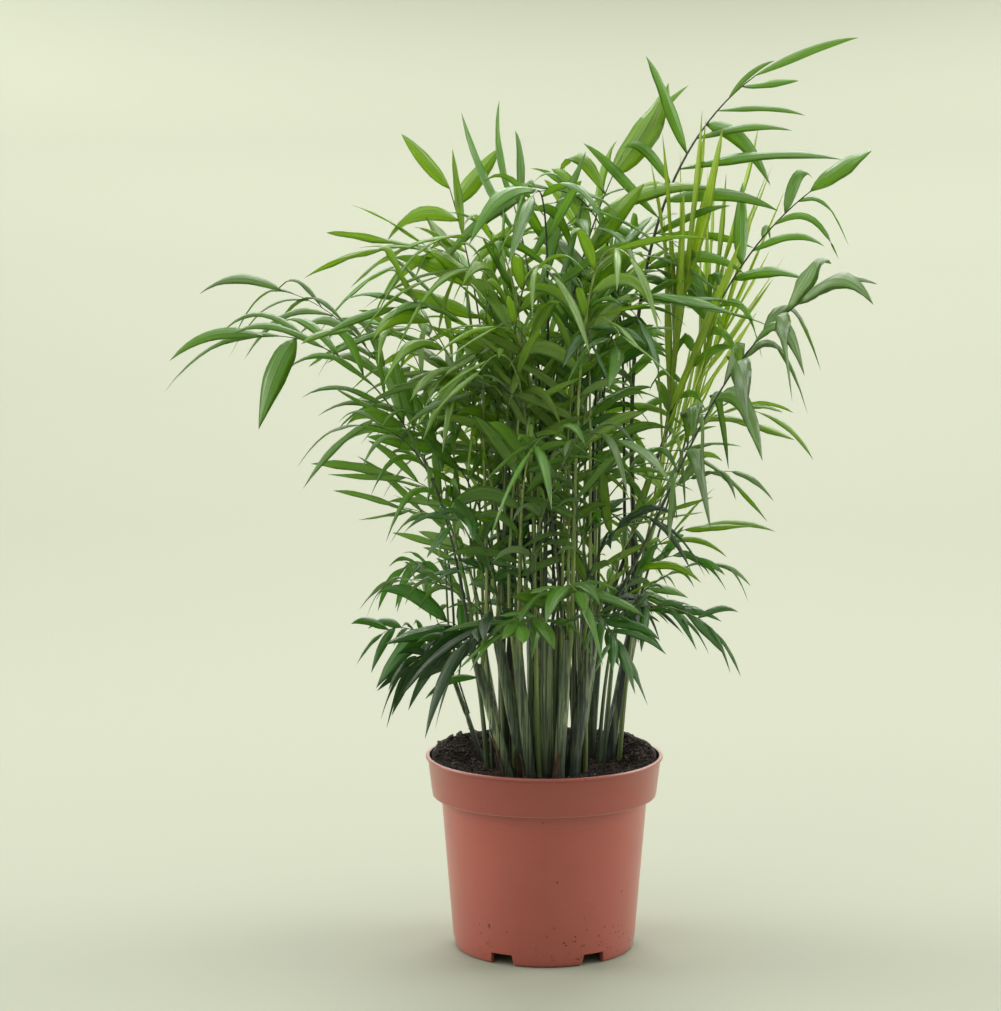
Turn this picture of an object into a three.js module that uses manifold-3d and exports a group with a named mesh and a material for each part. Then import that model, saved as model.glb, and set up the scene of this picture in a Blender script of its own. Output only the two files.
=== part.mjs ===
// A parlour palm grown as a clump of seedlings in a round plastic nursery pot.
// Millimetres, +Z up. The origin is on the pot's axis, on the level that it stands on,
// and the front of the plant faces -Y. Headings are degrees round +Z, with 0 along +X.

import * as THREE from 'three';
import { mergeVertices } from 'three/addons/utils/BufferGeometryUtils.js';
import Module from 'manifold-3d';

const wasm = await Module();
wasm.setup();

const clearance = 0.3; // between two pieces that rest on each other

// Pot
const rimDiameter = 170;
const potHeight = 140;
const collarHeight = 29; // the upright band under the rim
const collarFootDiameter = 160.5;
const bodyTopDiameter = 147.7;
const bodyFootDiameter = 129.8;
const underside = 124; // diameter of the flat underside
const wall = 1.6;
const lip = 1.2; // how far the rolled lip stands out from the collar
const notchCount = 6;
const notchWidth = 19;
const notchTopWidth = 16;
const notchHeight = 7;
const notchInnerRadius = 50;
const footTurn = 1.8; // the front foot's centre, in degrees from -Y
const roundSides = 48;
const cornerWidth = 1.9; // the rounding at the foot of the body
const cornerRise = 1.2;
const cornerHeight = 3.6;
const lipHeight = 2.6;
const edge = 0.8; // small roundings at the collar's foot and at the lip
const cutterReach = 70; // the notch cutter's outer end, clear of the wall
const cutterFoot = -1;

// Soil
const soilLevel = 131; // the flat middle that the stems are cut at
const soilEdgeLevel = 127;
const soilMiddleDiameter = 118;
const soilFootDiameter = 116;
const soilCornerHeight = 8;

// Stems: the sheathed foot of each seedling, up to where its petioles part.
const stemSides = 8;
const stemFlare = 1.18; // radius at the soil over the radius of the stem
const stemFlareHeight = 9;
const stemTopTaper = 0.86;

// x and y at the soil, height along the stem, lean, heading, radius,
// and the sizes of its plain fronds: t tall, m middle, l low.
const stemRows = [
  [-25, -33, 80, 16, 182, 4.0, 'tm'],
  [-14.5, -25, 96, 11, 176, 4.2, 'tl'],
  [-11, -38.5, 100, 6, 200, 4.2, 'tml'],
  [1, -29, 104, 2, 270, 4.4, 'tml'],
  [9, -40.5, 98, 5, 320, 4.2, 'tmml'],
  [19, -31, 108, 8, 352, 4.6, 'tm'],
  [22, -16, 90, 9, 25, 3.6, 'tml'],
  [-4, -14, 96, 5, 100, 4.2, 'mml'],
  [33, 30, 96, 5, 40, 4.0, 'tml'],
  [46, 24, 106, 11, 8, 4.6, 'tmml'],
  [27, 44, 92, 8, 75, 3.8, 'tmml'],
  [-44, 16, 62, 20, 165, 3.2, 'ml'],
  [-30, 29, 84, 13, 140, 3.6, 'mml'],
  [-6, 50, 86, 9, 100, 3.8, 'ttmml'],
];

// Fronds
const ribFootRadius = 1.7; // three-sided rib, from corner to centre
const ribTipRadius = 0.9;
const ribSides = 3;
const petioleSpacing = 2.3; // from the stem's centre to the foot of each petiole
const petioleSteps = 3; // rings along the bare petiole
const slotAngle = 120; // between the petioles of one stem
const longestBlade = 0.8; // the blade's largest share of its rib
const ribGap = 3.4; // least distance between the centre lines of two ribs
const stemGap = 2.1; // least distance from a rib's centre line to another stem's side
const settleTurns = [0, 5, -5, 10, -10, 15, -15, 20, -20, 30, -30, 45, -45];
const settleLeans = [0, 3, -3, 6, -6];

// The plain fronds, by size. Each range is worked through by the jitter below.
const frondSizes = {
  t: { height: [470, 545], reach: [45, 95], lean: [3, 9], dip: [5, 45], blade: 180, leaf: 88, pairs: 5 },
  m: { height: [350, 455], reach: [62, 112], lean: [4, 14], dip: [10, 45], blade: 150, leaf: 72, pairs: 5 },
  l: { height: [240, 335], reach: [50, 84], lean: [6, 26], dip: [20, 55], blade: 105, leaf: 50, pairs: 4 },
};
const goldenAngle = 137.5;
const headingSpread = 40;
const largestRoll = 30;
const plainSeed = 3000;

// The fronds that give the crown its outline: stem, heading, reach from the stem's top,
// height of the rib's tip, lean at the foot, dip at the tip (negative still rises), roll
// of the blade about its rib, length of the blade, length of its leaflets, pairs of them.
const keyRows = [
  [10, 14, 84, 622, -4, -35, 62, 200, 92, 5],
  [9, 348, 150, 541, 24, -38, 48, 190, 84, 5],
  [6, 332, 158, 474, 37, -30, 25, 180, 80, 5],
  [8, 35, 76, 566, 3, -58, 35, 190, 94, 5],
  [8, 115, 36, 530, -6, -56, 0, 180, 92, 4],
  [13, 160, 26, 542, -7, -72, -50, 190, 90, 5],
  [4, 190, 74, 484, 4, 30, -20, 200, 82, 5],
  [2, 200, 62, 470, -8, -50, -45, 180, 84, 5],
  [1, 170, 150, 440, 0, 5, -40, 200, 84, 5],
  [12, 160, 132, 468, -5, -12, -40, 180, 80, 5],
  [1, 205, 88, 384, 14, 0, -30, 140, 64, 4],
  [2, 215, 78, 318, -8, 25, -10, 130, 56, 4],
  [12, 186, 44, 262, 10, 30, 0, 90, 46, 4],
  [1, 204, 52, 214, 0, 40, 0, 92, 56, 4],
  [5, 232, 66, 246, 4, 24, 0, 112, 60, 4],
  [6, 330, 92, 242, 42, 42, 0, 100, 54, 4],
  [9, 5, 86, 270, 52, 15, 20, 100, 46, 4],
  [7, 345, 98, 348, 4, 5, 20, 120, 50, 4],
  [11, 75, 40, 520, 6, -68, 0, 220, 105, 5],
  [3, 280, 58, 372, 0, -10, 0, 120, 78, 4],
  [3, 240, 62, 238, 10, 30, 0, 100, 58, 4],
  [4, 290, 66, 270, 6, 30, 0, 110, 60, 4],
  [2, 190, 76, 268, 6, 26, 0, 110, 60, 4],
  [6, 285, 60, 236, 14, 26, 0, 100, 56, 4],
  [7, 25, 74, 278, 14, 26, 0, 110, 58, 4],
  [12, 215, 60, 230, 4, 30, 0, 100, 54, 4],
  [13, 140, 72, 262, 10, 30, 0, 105, 56, 4],
];

// Leaflets
const firstSpread = 66; // degrees from the rib to the lowest pair, and to the highest
const lastSpread = 32;
const spreadJitter = 10;
const middleLift = 0.12; // how far a leaflet starts above the blade, as a slope
const liftJitter = 0.25;
const leastSag = 0.5; // the drop to the point, as a share of half the leaflet's length
const sagJitter = 1.1;
const leafHalfWidth = 0.072; // as a share of the leaflet's length
const leafKeel = 0.02;
const rootLength = 4; // the length of rib that a pair of leaflets grows from
const leafGap = 0.5; // added all round a leaflet when it is tried against its neighbours
const leafTries = [
  { swing: 0, scale: 1 },
  { swing: 9, scale: 1 },
  { swing: -9, scale: 1 },
  { swing: 16, scale: 0.9 },
  { swing: -14, scale: 0.85 },
  { swing: 5, scale: 0.7 },
];
const smallestOverlap = 1e-4; // cubic millimetres

const up = new THREE.Vector3(0, 0, 1);
const lerp = THREE.MathUtils.lerp;
const radians = THREE.MathUtils.degToRad;

// A number from 0 to 1 that looks random but is the same for the same n.
function jitter(n) {
  const value = Math.sin(n * 127.1 + 311.7) * 43758.5453;
  return value - Math.floor(value);
}

function flatDirection(heading) {
  return new THREE.Vector3(Math.cos(radians(heading)), Math.sin(radians(heading)), 0);
}

// Solids

// A closed body that is built up from rings of points. Every ring runs anticlockwise about
// the way that the body grows.
class Body {
  points = [];

  faces = [];

  addRing(ring) {
    return ring.map((point) => this.points.push(point) - 1);
  }

  bridge(ring, next) {
    ring.forEach((corner, i) => {
      const j = (i + 1) % ring.length;
      this.faces.push([corner, ring[j], next[j]], [corner, next[j], next[i]]);
    });
  }

  close(ring) {
    for (let i = 1; i < ring.length - 1; i += 1) this.faces.push([ring[0], ring[i], ring[i + 1]]);
  }

  // Takes a triangle out of the body, the first one with these corners, and lets a
  // pointed blade grow there.
  growBlade(root, middle, tip) {
    const taken = this.faces.findIndex((face) => root.every((corner) => face.includes(corner)));
    this.faces.splice(taken, 1);
    const ring = this.addRing(middle);
    const [point] = this.addRing([tip]);
    this.bridge(root, ring);
    ring.forEach((corner, i) => this.faces.push([corner, ring[(i + 1) % ring.length], point]));
  }

  geometry() {
    const positions = this.points.flatMap((point) => point.toArray());
    const geometry = new THREE.BufferGeometry();
    geometry.setAttribute('position', new THREE.Float32BufferAttribute(positions, 3));
    geometry.setIndex(this.faces.flat());
    return geometry;
  }
}

// A closed body through a row of rings, with flat ends.
function loft(rings) {
  const body = new Body();
  const corners = rings.map((ring) => body.addRing(ring));
  body.close(corners[0].toReversed());
  for (let i = 1; i < corners.length; i += 1) body.bridge(corners[i - 1], corners[i]);
  body.close(corners.at(-1));
  return { body, corners };
}

// A three.js geometry as a manifold-3d solid: its doubled points are merged and the
// triangles that this leaves with no area are dropped.
function solidFrom(geometry) {
  geometry.deleteAttribute('normal');
  geometry.deleteAttribute('uv');
  const merged = mergeVertices(geometry, 1e-4);
  const index = merged.index.array;
  const triangles = [];
  for (let i = 0; i < index.length; i += 3) {
    const [a, b, c] = index.slice(i, i + 3);
    if (a !== b && b !== c && c !== a) triangles.push(a, b, c);
  }
  return new wasm.Manifold(new wasm.Mesh({
    numProp: 3,
    vertProperties: new Float32Array(merged.attributes.position.array),
    triVerts: new Uint32Array(triangles),
  }));
}

function geometryFrom(solid) {
  const mesh = solid.getMesh();
  const geometry = new THREE.BufferGeometry();
  geometry.setAttribute('position', new THREE.BufferAttribute(mesh.vertProperties, 3));
  geometry.setIndex(new THREE.BufferAttribute(mesh.triVerts, 1));
  geometry.computeVertexNormals();
  return geometry;
}

// A body turned about +Z from an outline of [radius, height] points that starts and ends
// on the axis.
function turned(outline) {
  const points = outline.map(([radius, height]) => new THREE.Vector2(radius, height));
  return solidFrom(new THREE.LatheGeometry(points, roundSides).rotateX(Math.PI / 2));
}

// Pot and soil

const shoulder = potHeight - collarHeight; // where the collar starts

function bodyRadius(height) {
  return lerp(bodyFootDiameter / 2, bodyTopDiameter / 2, height / shoulder);
}

function collarRadius(height) {
  const top = rimDiameter / 2 - lip;
  return lerp(collarFootDiameter / 2, top, (height - shoulder) / collarHeight);
}

function potShell() {
  return turned([
    [0, 0],
    [underside / 2, 0],
    [underside / 2 + cornerWidth, cornerRise],
    [bodyRadius(cornerHeight), cornerHeight],
    [bodyRadius(shoulder), shoulder],
    [collarRadius(shoulder) - edge, shoulder],
    [collarRadius(shoulder), shoulder + edge],
    [collarRadius(potHeight - lipHeight), potHeight - lipHeight],
    [rimDiameter / 2, potHeight - lipHeight + edge],
    [rimDiameter / 2, potHeight - edge],
    [rimDiameter / 2 - edge, potHeight],
    [collarRadius(potHeight) - wall, potHeight],
    [collarRadius(shoulder + wall) - wall, shoulder + wall],
    [bodyRadius(shoulder) - wall, shoulder + wall],
    [bodyRadius(cornerHeight + wall) - wall, cornerHeight + wall],
    [underside / 2, wall],
    [0, wall],
  ]);
}

// The drainage notches that leave the pot standing on six feet. Each is cut from outside
// through the foot of the wall, and is narrower at its top.
function notchCutter(index) {
  const outline = new THREE.Shape([
    new THREE.Vector2(-notchWidth / 2, cutterFoot),
    new THREE.Vector2(notchWidth / 2, cutterFoot),
    new THREE.Vector2(notchTopWidth / 2, notchHeight),
    new THREE.Vector2(-notchTopWidth / 2, notchHeight),
  ]);
  const depth = cutterReach - notchInnerRadius;
  const cutter = new THREE.ExtrudeGeometry(outline, { depth, bevelEnabled: false });
  cutter.rotateX(Math.PI / 2).translate(0, -notchInnerRadius, 0);
  cutter.rotateZ(radians(footTurn + (index + 0.5) * (360 / notchCount)));
  return solidFrom(cutter);
}

function potSolid() {
  let pot = potShell();
  for (let i = 0; i < notchCount; i += 1) pot = pot.subtract(notchCutter(i));
  return pot;
}

// Damp potting soil that fills the pot, a little higher in the middle than at the wall.
function soilSolid() {
  const inside = wall + clearance;
  const ledge = shoulder + inside;
  return turned([
    [0, inside],
    [soilFootDiameter / 2, inside],
    [bodyRadius(soilCornerHeight) - inside, soilCornerHeight],
    [bodyRadius(shoulder) - inside, ledge],
    [collarRadius(shoulder + wall) - inside, ledge],
    [collarRadius(soilEdgeLevel) - inside, soilEdgeLevel],
    [soilMiddleDiameter / 2, soilLevel],
    [0, soilLevel],
  ]);
}

// Stems

function makeStem([x, y, height, lean, heading, radius, sizes]) {
  const axis = flatDirection(heading).multiplyScalar(Math.sin(radians(lean)));
  axis.z = Math.cos(radians(lean));
  const foot = new THREE.Vector3(x, y, soilLevel + clearance);
  const top = foot.clone().addScaledVector(axis, height);
  return { foot, axis, height, radius, sizes, top, fronds: [] };
}

// Level rings up the leaning stem: the flare at the soil, the stem and its narrower top.
function stemSolid({ foot, axis, height, radius }) {
  const levels = [
    [0, radius * stemFlare],
    [stemFlareHeight, radius],
    [height, radius * stemTopTaper],
  ];
  const rings = levels.map(([along, ringRadius]) => {
    const centre = foot.clone().addScaledVector(axis, along);
    return Array.from({ length: stemSides }, (_, i) =>
      flatDirection((360 * i) / stemSides).multiplyScalar(ringRadius).add(centre));
  });
  return solidFrom(loft(rings).body.geometry());
}

// Fronds

// A plain frond: its size, its share of the golden-angle spiral and its own jitter.
function plainFrond(stem, sizeName, order) {
  const size = frondSizes[sizeName];
  const seed = 7 * order + plainSeed;
  const pick = (range, n) => lerp(range[0], range[1], jitter(seed + n));
  return {
    stem,
    heading: (goldenAngle * order + headingSpread * (jitter(seed) - 0.5) + 360) % 360,
    height: pick(size.height, 1),
    reach: pick(size.reach, 2),
    lean: pick(size.lean, 3),
    dip: pick(size.dip, 4),
    leaf: size.leaf * pick([0.9, 1.1], 5),
    roll: pick([-largestRoll, largestRoll], 6),
    blade: size.blade,
    pairs: size.pairs,
  };
}

function keyFrond(stems, row) {
  const [stem, heading, reach, height, lean, dip, roll, blade, leaf, pairs] = row;
  return { stem: stems[stem - 1], heading, reach, height, lean, dip, roll, blade, leaf, pairs };
}

// The rib's centre line: it leaves the stem at its lean and bends over in the upright
// plane of its heading until it dips as it should at the tip.
function ribCurve(frond) {
  const outward = flatDirection(frond.heading);
  const tip = outward.clone().multiplyScalar(frond.reach).add(frond.foot);
  tip.z = frond.height;
  const handle = tip.distanceTo(frond.foot) / 3;
  const leave = outward.clone().multiplyScalar(Math.sin(radians(frond.lean)));
  leave.addScaledVector(up, Math.cos(radians(frond.lean)));
  const arrive = outward.clone().multiplyScalar(Math.cos(radians(frond.dip)));
  arrive.addScaledVector(up, -Math.sin(radians(frond.dip)));
  return new THREE.CubicBezierCurve3(
    frond.foot,
    frond.foot.clone().addScaledVector(leave, handle),
    tip.clone().addScaledVector(arrive, -handle),
    tip,
  );
}

// Places along the rib, as shares of its length: a few up the bare petiole, then the start
// and the end of the stretch that each pair of leaflets grows from, and the tip.
function ribShares(frond, length) {
  const bladeShare = Math.min(frond.blade / length, longestBlade);
  const shares = [];
  for (let i = 0; i < petioleSteps; i += 1) shares.push(((1 - bladeShare) * i) / petioleSteps);
  for (let i = 0; i < frond.pairs; i += 1) {
    const start = 1 - bladeShare * (1 - i / frond.pairs);
    shares.push(start, start + rootLength / length);
  }
  shares.push(1);
  return shares;
}

function ribPoints(frond) {
  const curve = ribCurve(frond);
  return ribShares(frond, curve.getLength()).map((share) => curve.getPointAt(share));
}

function lineDistance(pointsA, pointsB) {
  let least = Infinity;
  for (let i = 1; i < pointsA.length; i += 1) {
    const a = new THREE.Line3(pointsA[i - 1], pointsA[i]);
    for (let j = 1; j < pointsB.length; j += 1) {
      const b = new THREE.Line3(pointsB[j - 1], pointsB[j]);
      least = Math.min(least, Math.sqrt(a.distanceSqToLine3(b)));
    }
  }
  return least;
}

function isClear(frond, standing, stems) {
  const points = ribPoints(frond);
  return standing.every((other) => other.node === frond.node
      || lineDistance(points, other.points) >= ribGap)
    && stems.every((stem) => stem === frond.stem
      || lineDistance(points, [stem.foot, stem.top]) >= stem.radius + stemGap);
}

// Turns a frond a little and changes its lean, if it has to, until its rib passes clear of
// the ribs and stems that already stand.
function settleFrond(frond, standing, stems) {
  const { heading, lean } = frond;
  const places = settleLeans.flatMap((more) => settleTurns.map((turn) => (
    { heading: heading + turn, lean: lean + more })));
  const place = places.find((tried) => isClear(Object.assign(frond, tried), standing, stems));
  if (!place) throw new Error(`frond ${frond.number} finds no room`);
  frond.shares = ribShares(frond, ribCurve(frond).getLength());
  frond.points = ribPoints(frond);
  standing.push(frond);
}

// The fronds of one stem, sorted by heading, share three nodes. Fronds that share one
// grow from the same foot, and the feet stand evenly round the top of the stem.
function shareNodes(stem) {
  const sorted = stem.fronds.sort((a, b) => a.heading - b.heading);
  const splits = sorted.length > 4 ? [0, 1, 3, 5] : [0, 1, 2, 4];
  return [0, 1, 2].map((slot) => {
    const node = sorted.slice(splits[slot], splits[slot + 1]);
    const foot = flatDirection(sorted[0].heading + slotAngle * slot);
    foot.multiplyScalar(petioleSpacing).add(stem.top).addScaledVector(up, clearance);
    for (const frond of node) Object.assign(frond, { foot, node });
    return node;
  });
}

// Directions at a place on the rib: along it, to the blade's left, and out of its face.
function ribFrame(frond, share) {
  const along = ribCurve(frond).getTangentAt(share);
  const level = flatDirection(frond.heading + 90);
  const face = along.clone().cross(level);
  const roll = radians(frond.roll);
  const left = level.clone().multiplyScalar(Math.cos(roll)).addScaledVector(face, Math.sin(roll));
  face.multiplyScalar(Math.cos(roll)).addScaledVector(level, -Math.sin(roll));
  return { along, left, face };
}

// The rings of a rib: keel, left and right corner. The first one is level, to stand on
// the stem.
function ribRings(frond) {
  return frond.points.map((centre, i) => {
    const { left, face } = ribFrame(frond, frond.shares[i]);
    const radius = lerp(ribFootRadius, ribTipRadius, frond.shares[i]);
    return Array.from({ length: ribSides }, (_, k) => {
      const angle = radians(-90 + (360 * k) / ribSides);
      const point = centre.clone().addScaledVector(left, radius * Math.cos(angle));
      point.addScaledVector(face, radius * Math.sin(angle));
      if (i === 0) point.z = centre.z;
      return point;
    });
  });
}

// The triangle of the rib that a leaflet grows from, as corners of the rib's rings: two
// on its upper edge and one on its keel. The last leaflet grows from the rib's end.
function leafRoot(frond, order, corners) {
  const ring = petioleSteps + 2 * Math.floor(order / 2);
  const [keel, left, right] = corners[ring];
  if (order === 2 * frond.pairs) return [left, right, keel];
  const [nextKeel, nextLeft, nextRight] = corners[ring + 1];
  return order % 2 === 0 ? [left, nextLeft, keel] : [nextRight, right, nextKeel];
}

// The length of the leaflets along a blade: longest a little past its middle.
function lengthShare(t) {
  return 0.68 + 0.85 * t - 0.68 * t * t;
}

// One leaflet. It points further forward towards the tip, starts a little above the blade
// and sags to its own point. Across its middle it is a flat triangle with the keel below.
function makeLeaf(frond, order, root, { swing, scale }) {
  const last = 2 * frond.pairs;
  const t = Math.floor(order / 2) / frond.pairs;
  const seed = frond.number * 37 + order;
  const ring = petioleSteps + 2 * Math.floor(order / 2);
  const { along, left, face } = ribFrame(frond, frond.shares[ring]);
  const side = order % 2 === 0 ? 1 : -1;
  const turn = spreadJitter * (jitter(seed) - 0.5);
  const spread = order === last ? 0 : lerp(firstSpread, lastSpread, t) + turn;
  const angle = radians(spread + swing);
  const lift = middleLift + liftJitter * (jitter(seed + 0.3) - 0.5);
  const direction = along.clone().multiplyScalar(Math.cos(angle));
  direction.addScaledVector(left, side * Math.sin(angle));
  direction.addScaledVector(face, lift).normalize();
  const sag = leastSag + sagJitter * jitter(seed + 0.8) ** 2;
  const fullLength = scale * frond.leaf * lengthShare(t) * lerp(0.92, 1.08, jitter(seed + 0.6));
  return { root, direction, face, sag, length: fullLength / (1 + (sag * sag) / 8) };
}

// The middle ring and the point of a leaflet, larger by a margin where it is only tried.
function leafBlade({ root, direction, face, sag, length }, margin) {
  const foot = root[0].clone().add(root[1]).multiplyScalar(0.5);
  const place = (t) => foot.clone().addScaledVector(direction, length * t)
    .addScaledVector(up, (-length * sag * t * t) / 2);
  const across = face.clone().cross(direction).normalize();
  const along = direction.clone().addScaledVector(up, -sag / 2).normalize();
  const out = along.cross(across).normalize();
  const centre = place(0.5);
  const halfWidth = leafHalfWidth * length + margin;
  const middle = [
    centre.clone().addScaledVector(across, halfWidth).addScaledVector(out, margin),
    centre.clone().addScaledVector(across, -halfWidth).addScaledVector(out, margin),
    centre.clone().addScaledVector(out, -leafKeel * length - margin),
  ];
  return { middle, tip: place(1 + margin / length) };
}

// A leaflet by itself: a flat start on the rib with the blade grown from it.
function leafSolid(leaf, margin) {
  const { middle, tip } = leafBlade(leaf, margin);
  const body = new Body();
  const root = body.addRing(leaf.root);
  body.close(root);
  body.close(root.toReversed());
  body.growBlade(root, middle, tip);
  return solidFrom(body.geometry());
}

function boxOf(solid) {
  const { min, max } = solid.boundingBox();
  return new THREE.Box3(new THREE.Vector3(...min), new THREE.Vector3(...max));
}

function overlaps(solid, obstacles, owner) {
  const box = boxOf(solid);
  return obstacles.some((other) => other.owner !== owner && other.box.intersectsBox(box)
    && solid.intersect(other.solid).volume() > smallestOverlap);
}

// A frond is its rib with every leaflet that stands clear of the rest of the plant.
function frondSolid(frond, obstacles) {
  const { body, corners } = frond.rib;
  for (let order = 0; order <= 2 * frond.pairs; order += 1) {
    const root = leafRoot(frond, order, corners);
    const rootPoints = root.map((corner) => body.points[corner]);
    for (const attempt of leafTries) {
      const leaf = makeLeaf(frond, order, rootPoints, attempt);
      if (overlaps(leafSolid(leaf, leafGap), obstacles, frond)) continue;
      const solid = leafSolid(leaf, 0);
      const { middle, tip } = leafBlade(leaf, 0);
      obstacles.push({ solid, box: boxOf(solid), owner: frond });
      body.growBlade(root, middle, tip);
      break;
    }
  }
  return solidFrom(body.geometry());
}

// The whole plant

const palm = new THREE.Group();

function addPiece(name, solid, color, roughness) {
  const material = new THREE.MeshStandardMaterial({ color, roughness, metalness: 0 });
  const mesh = new THREE.Mesh(geometryFrom(solid), material);
  mesh.name = name;
  palm.add(mesh);
}

const twoDigits = (number) => String(number).padStart(2, '0');

const stems = stemRows.map(makeStem);
const keyFronds = keyRows.map((row) => keyFrond(stems, row));
const plainFronds = [];
for (const stem of stems) {
  for (const size of stem.sizes) plainFronds.push(plainFrond(stem, size, plainFronds.length));
}
const fronds = [...keyFronds, ...plainFronds];
fronds.forEach((frond, number) => {
  frond.number = number;
  frond.stem.fronds.push(frond);
});
const nodes = stems.flatMap(shareNodes);
const standing = [];
for (const frond of fronds) settleFrond(frond, standing, stems);

const obstacles = [];
for (const stem of stems) {
  stem.solid = stemSolid(stem);
  obstacles.push({ solid: stem.solid, box: boxOf(stem.solid), owner: stem });
}
for (const frond of fronds) {
  frond.rib = loft(ribRings(frond));
  const solid = solidFrom(frond.rib.body.geometry());
  obstacles.push({ solid, box: boxOf(solid), owner: frond });
}

addPiece('pot', potSolid(), 0x98523f, 0.45);
addPiece('soil', soilSolid(), 0x2a2120, 0.95);
stems.forEach((stem, i) => addPiece(`stem_${twoDigits(i + 1)}`, stem.solid, 0x5f7048, 0.6));
nodes.forEach((node, i) => {
  const solid = node.map((frond) => frondSolid(frond, obstacles)).reduce((a, b) => a.add(b));
  addPiece(`frond_${twoDigits(i + 1)}`, solid, 0x3f7a24, 0.5);
});

export default palm;
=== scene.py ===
# A parlour palm in its nursery pot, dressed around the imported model.
# Metres, +Z up, the front of the plant faces -Y. Headings are degrees round +Z from +X.
import math

import bmesh
import bpy
import numpy as np
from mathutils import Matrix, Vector, noise


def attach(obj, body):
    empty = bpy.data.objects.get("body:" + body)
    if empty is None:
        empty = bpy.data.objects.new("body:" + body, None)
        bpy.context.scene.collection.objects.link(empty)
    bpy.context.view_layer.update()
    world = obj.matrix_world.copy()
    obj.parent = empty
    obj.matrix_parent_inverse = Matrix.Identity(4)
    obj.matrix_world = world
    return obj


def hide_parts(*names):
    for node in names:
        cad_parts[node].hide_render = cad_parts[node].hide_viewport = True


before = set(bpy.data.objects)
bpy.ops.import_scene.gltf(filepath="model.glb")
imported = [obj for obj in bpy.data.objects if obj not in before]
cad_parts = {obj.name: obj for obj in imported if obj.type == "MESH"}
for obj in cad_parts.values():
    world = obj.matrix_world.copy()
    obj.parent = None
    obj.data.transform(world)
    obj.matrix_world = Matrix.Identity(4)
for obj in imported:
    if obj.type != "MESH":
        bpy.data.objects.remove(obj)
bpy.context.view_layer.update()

mm = 0.001
up = np.array((0.0, 0.0, 1.0))


def srgb(red, green, blue):
    # a colour as read off a screen, 0 to 255, made linear
    def linear(value):
        share = value / 255
        return share / 12.92 if share <= 0.04045 else ((share + 0.055) / 1.055) ** 2.4
    return (linear(red), linear(green), linear(blue), 1.0)


def tinted(colour, factor):
    return tuple(min(1.0, channel * factor) for channel in colour[:3]) + (1.0,)


def mix(a, b, t):
    return a + (b - a) * t


def smooth(t):
    t = min(max(t, 0.0), 1.0)
    return t * t * (3 - 2 * t)


def jitter(n):
    # looks random from 0 to 1, but is the same for the same n
    value = math.sin(n * 127.1 + 311.7) * 43758.5453
    return value - math.floor(value)


def swing(n):
    # the same, from -0.5 to 0.5
    return jitter(n) - 0.5


def unit(vector):
    return vector / np.linalg.norm(vector)


def flatDirection(heading):
    angle = math.radians(heading)
    return np.array((math.cos(angle), math.sin(angle), 0.0))


def leaning(heading, lean):
    # a direction that leans from the upright towards a heading
    angle = math.radians(lean)
    return flatDirection(heading) * math.sin(angle) + up * math.cos(angle)


def turned(first, second, degrees):
    # two directions at right angles, turned together in their plane
    angle = math.radians(degrees)
    cos, sin = math.cos(angle), math.sin(angle)
    return first * cos + second * sin, second * cos - first * sin


# Node building

class Wire:
    # an output of a node to reckon with: each sign or step adds a Math or Vector Math node
    def __init__(self, tree, socket):
        self.tree, self.socket = tree, socket

    def __add__(self, other):
        return self.step("ADD", other)

    def __sub__(self, other):
        return self.step("SUBTRACT", other)

    def __rsub__(self, other):
        return reckon(self.tree, "SUBTRACT", other, self)

    def __mul__(self, other):
        return self.step("MULTIPLY", other)

    def __truediv__(self, other):
        return self.step("DIVIDE", other)

    def __rtruediv__(self, other):
        return reckon(self.tree, "DIVIDE", other, self)

    def step(self, operation, *others):
        return reckon(self.tree, operation, self, *others)

    def contrast(self, strength):
        pushed = (self - 0.5) * strength + 0.5
        pushed.socket.node.use_clamp = True
        return pushed

    def spread(self, low, high, start=0.0, end=1.0, kind="SMOOTHSTEP"):
        return self.tree.shade("MapRange", Value=self, From_Min=low, From_Max=high, To_Min=start,
                               To_Max=end, interpolation_type=kind)["Result"]

    def band(self, low, high, blur):
        # 1 where the value lies between low and high
        return self.spread(low - blur, low + blur) * self.spread(high + blur, high - blur)

    def parts(self):
        cut = self.tree.shade("SeparateXYZ", self)
        return cut["X"], cut["Y"], cut["Z"]

    def fromAxis(self):
        x, y = self.parts()[:2]
        return self.tree.shade("CombineXYZ", x, y)[0].step("LENGTH")


def isVector(value):
    if isinstance(value, Wire):
        return value.socket.type in ("VECTOR", "RGBA")
    return isinstance(value, tuple)


def reckon(tree, operation, *values):
    if not any(isVector(value) for value in values):
        return tree.shade("Math", *values, operation=operation)[0]
    values = [(value,) * 3 if isinstance(value, (int, float)) else value for value in values]
    output = "Value" if operation == "LENGTH" else "Vector"
    return tree.shade("VectorMath", *values, operation=operation)[output]


class Node:
    def __init__(self, tree, node):
        self.tree, self.node = tree, node

    def __getitem__(self, label):
        return Wire(self.tree, self.node.outputs[label])


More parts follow.
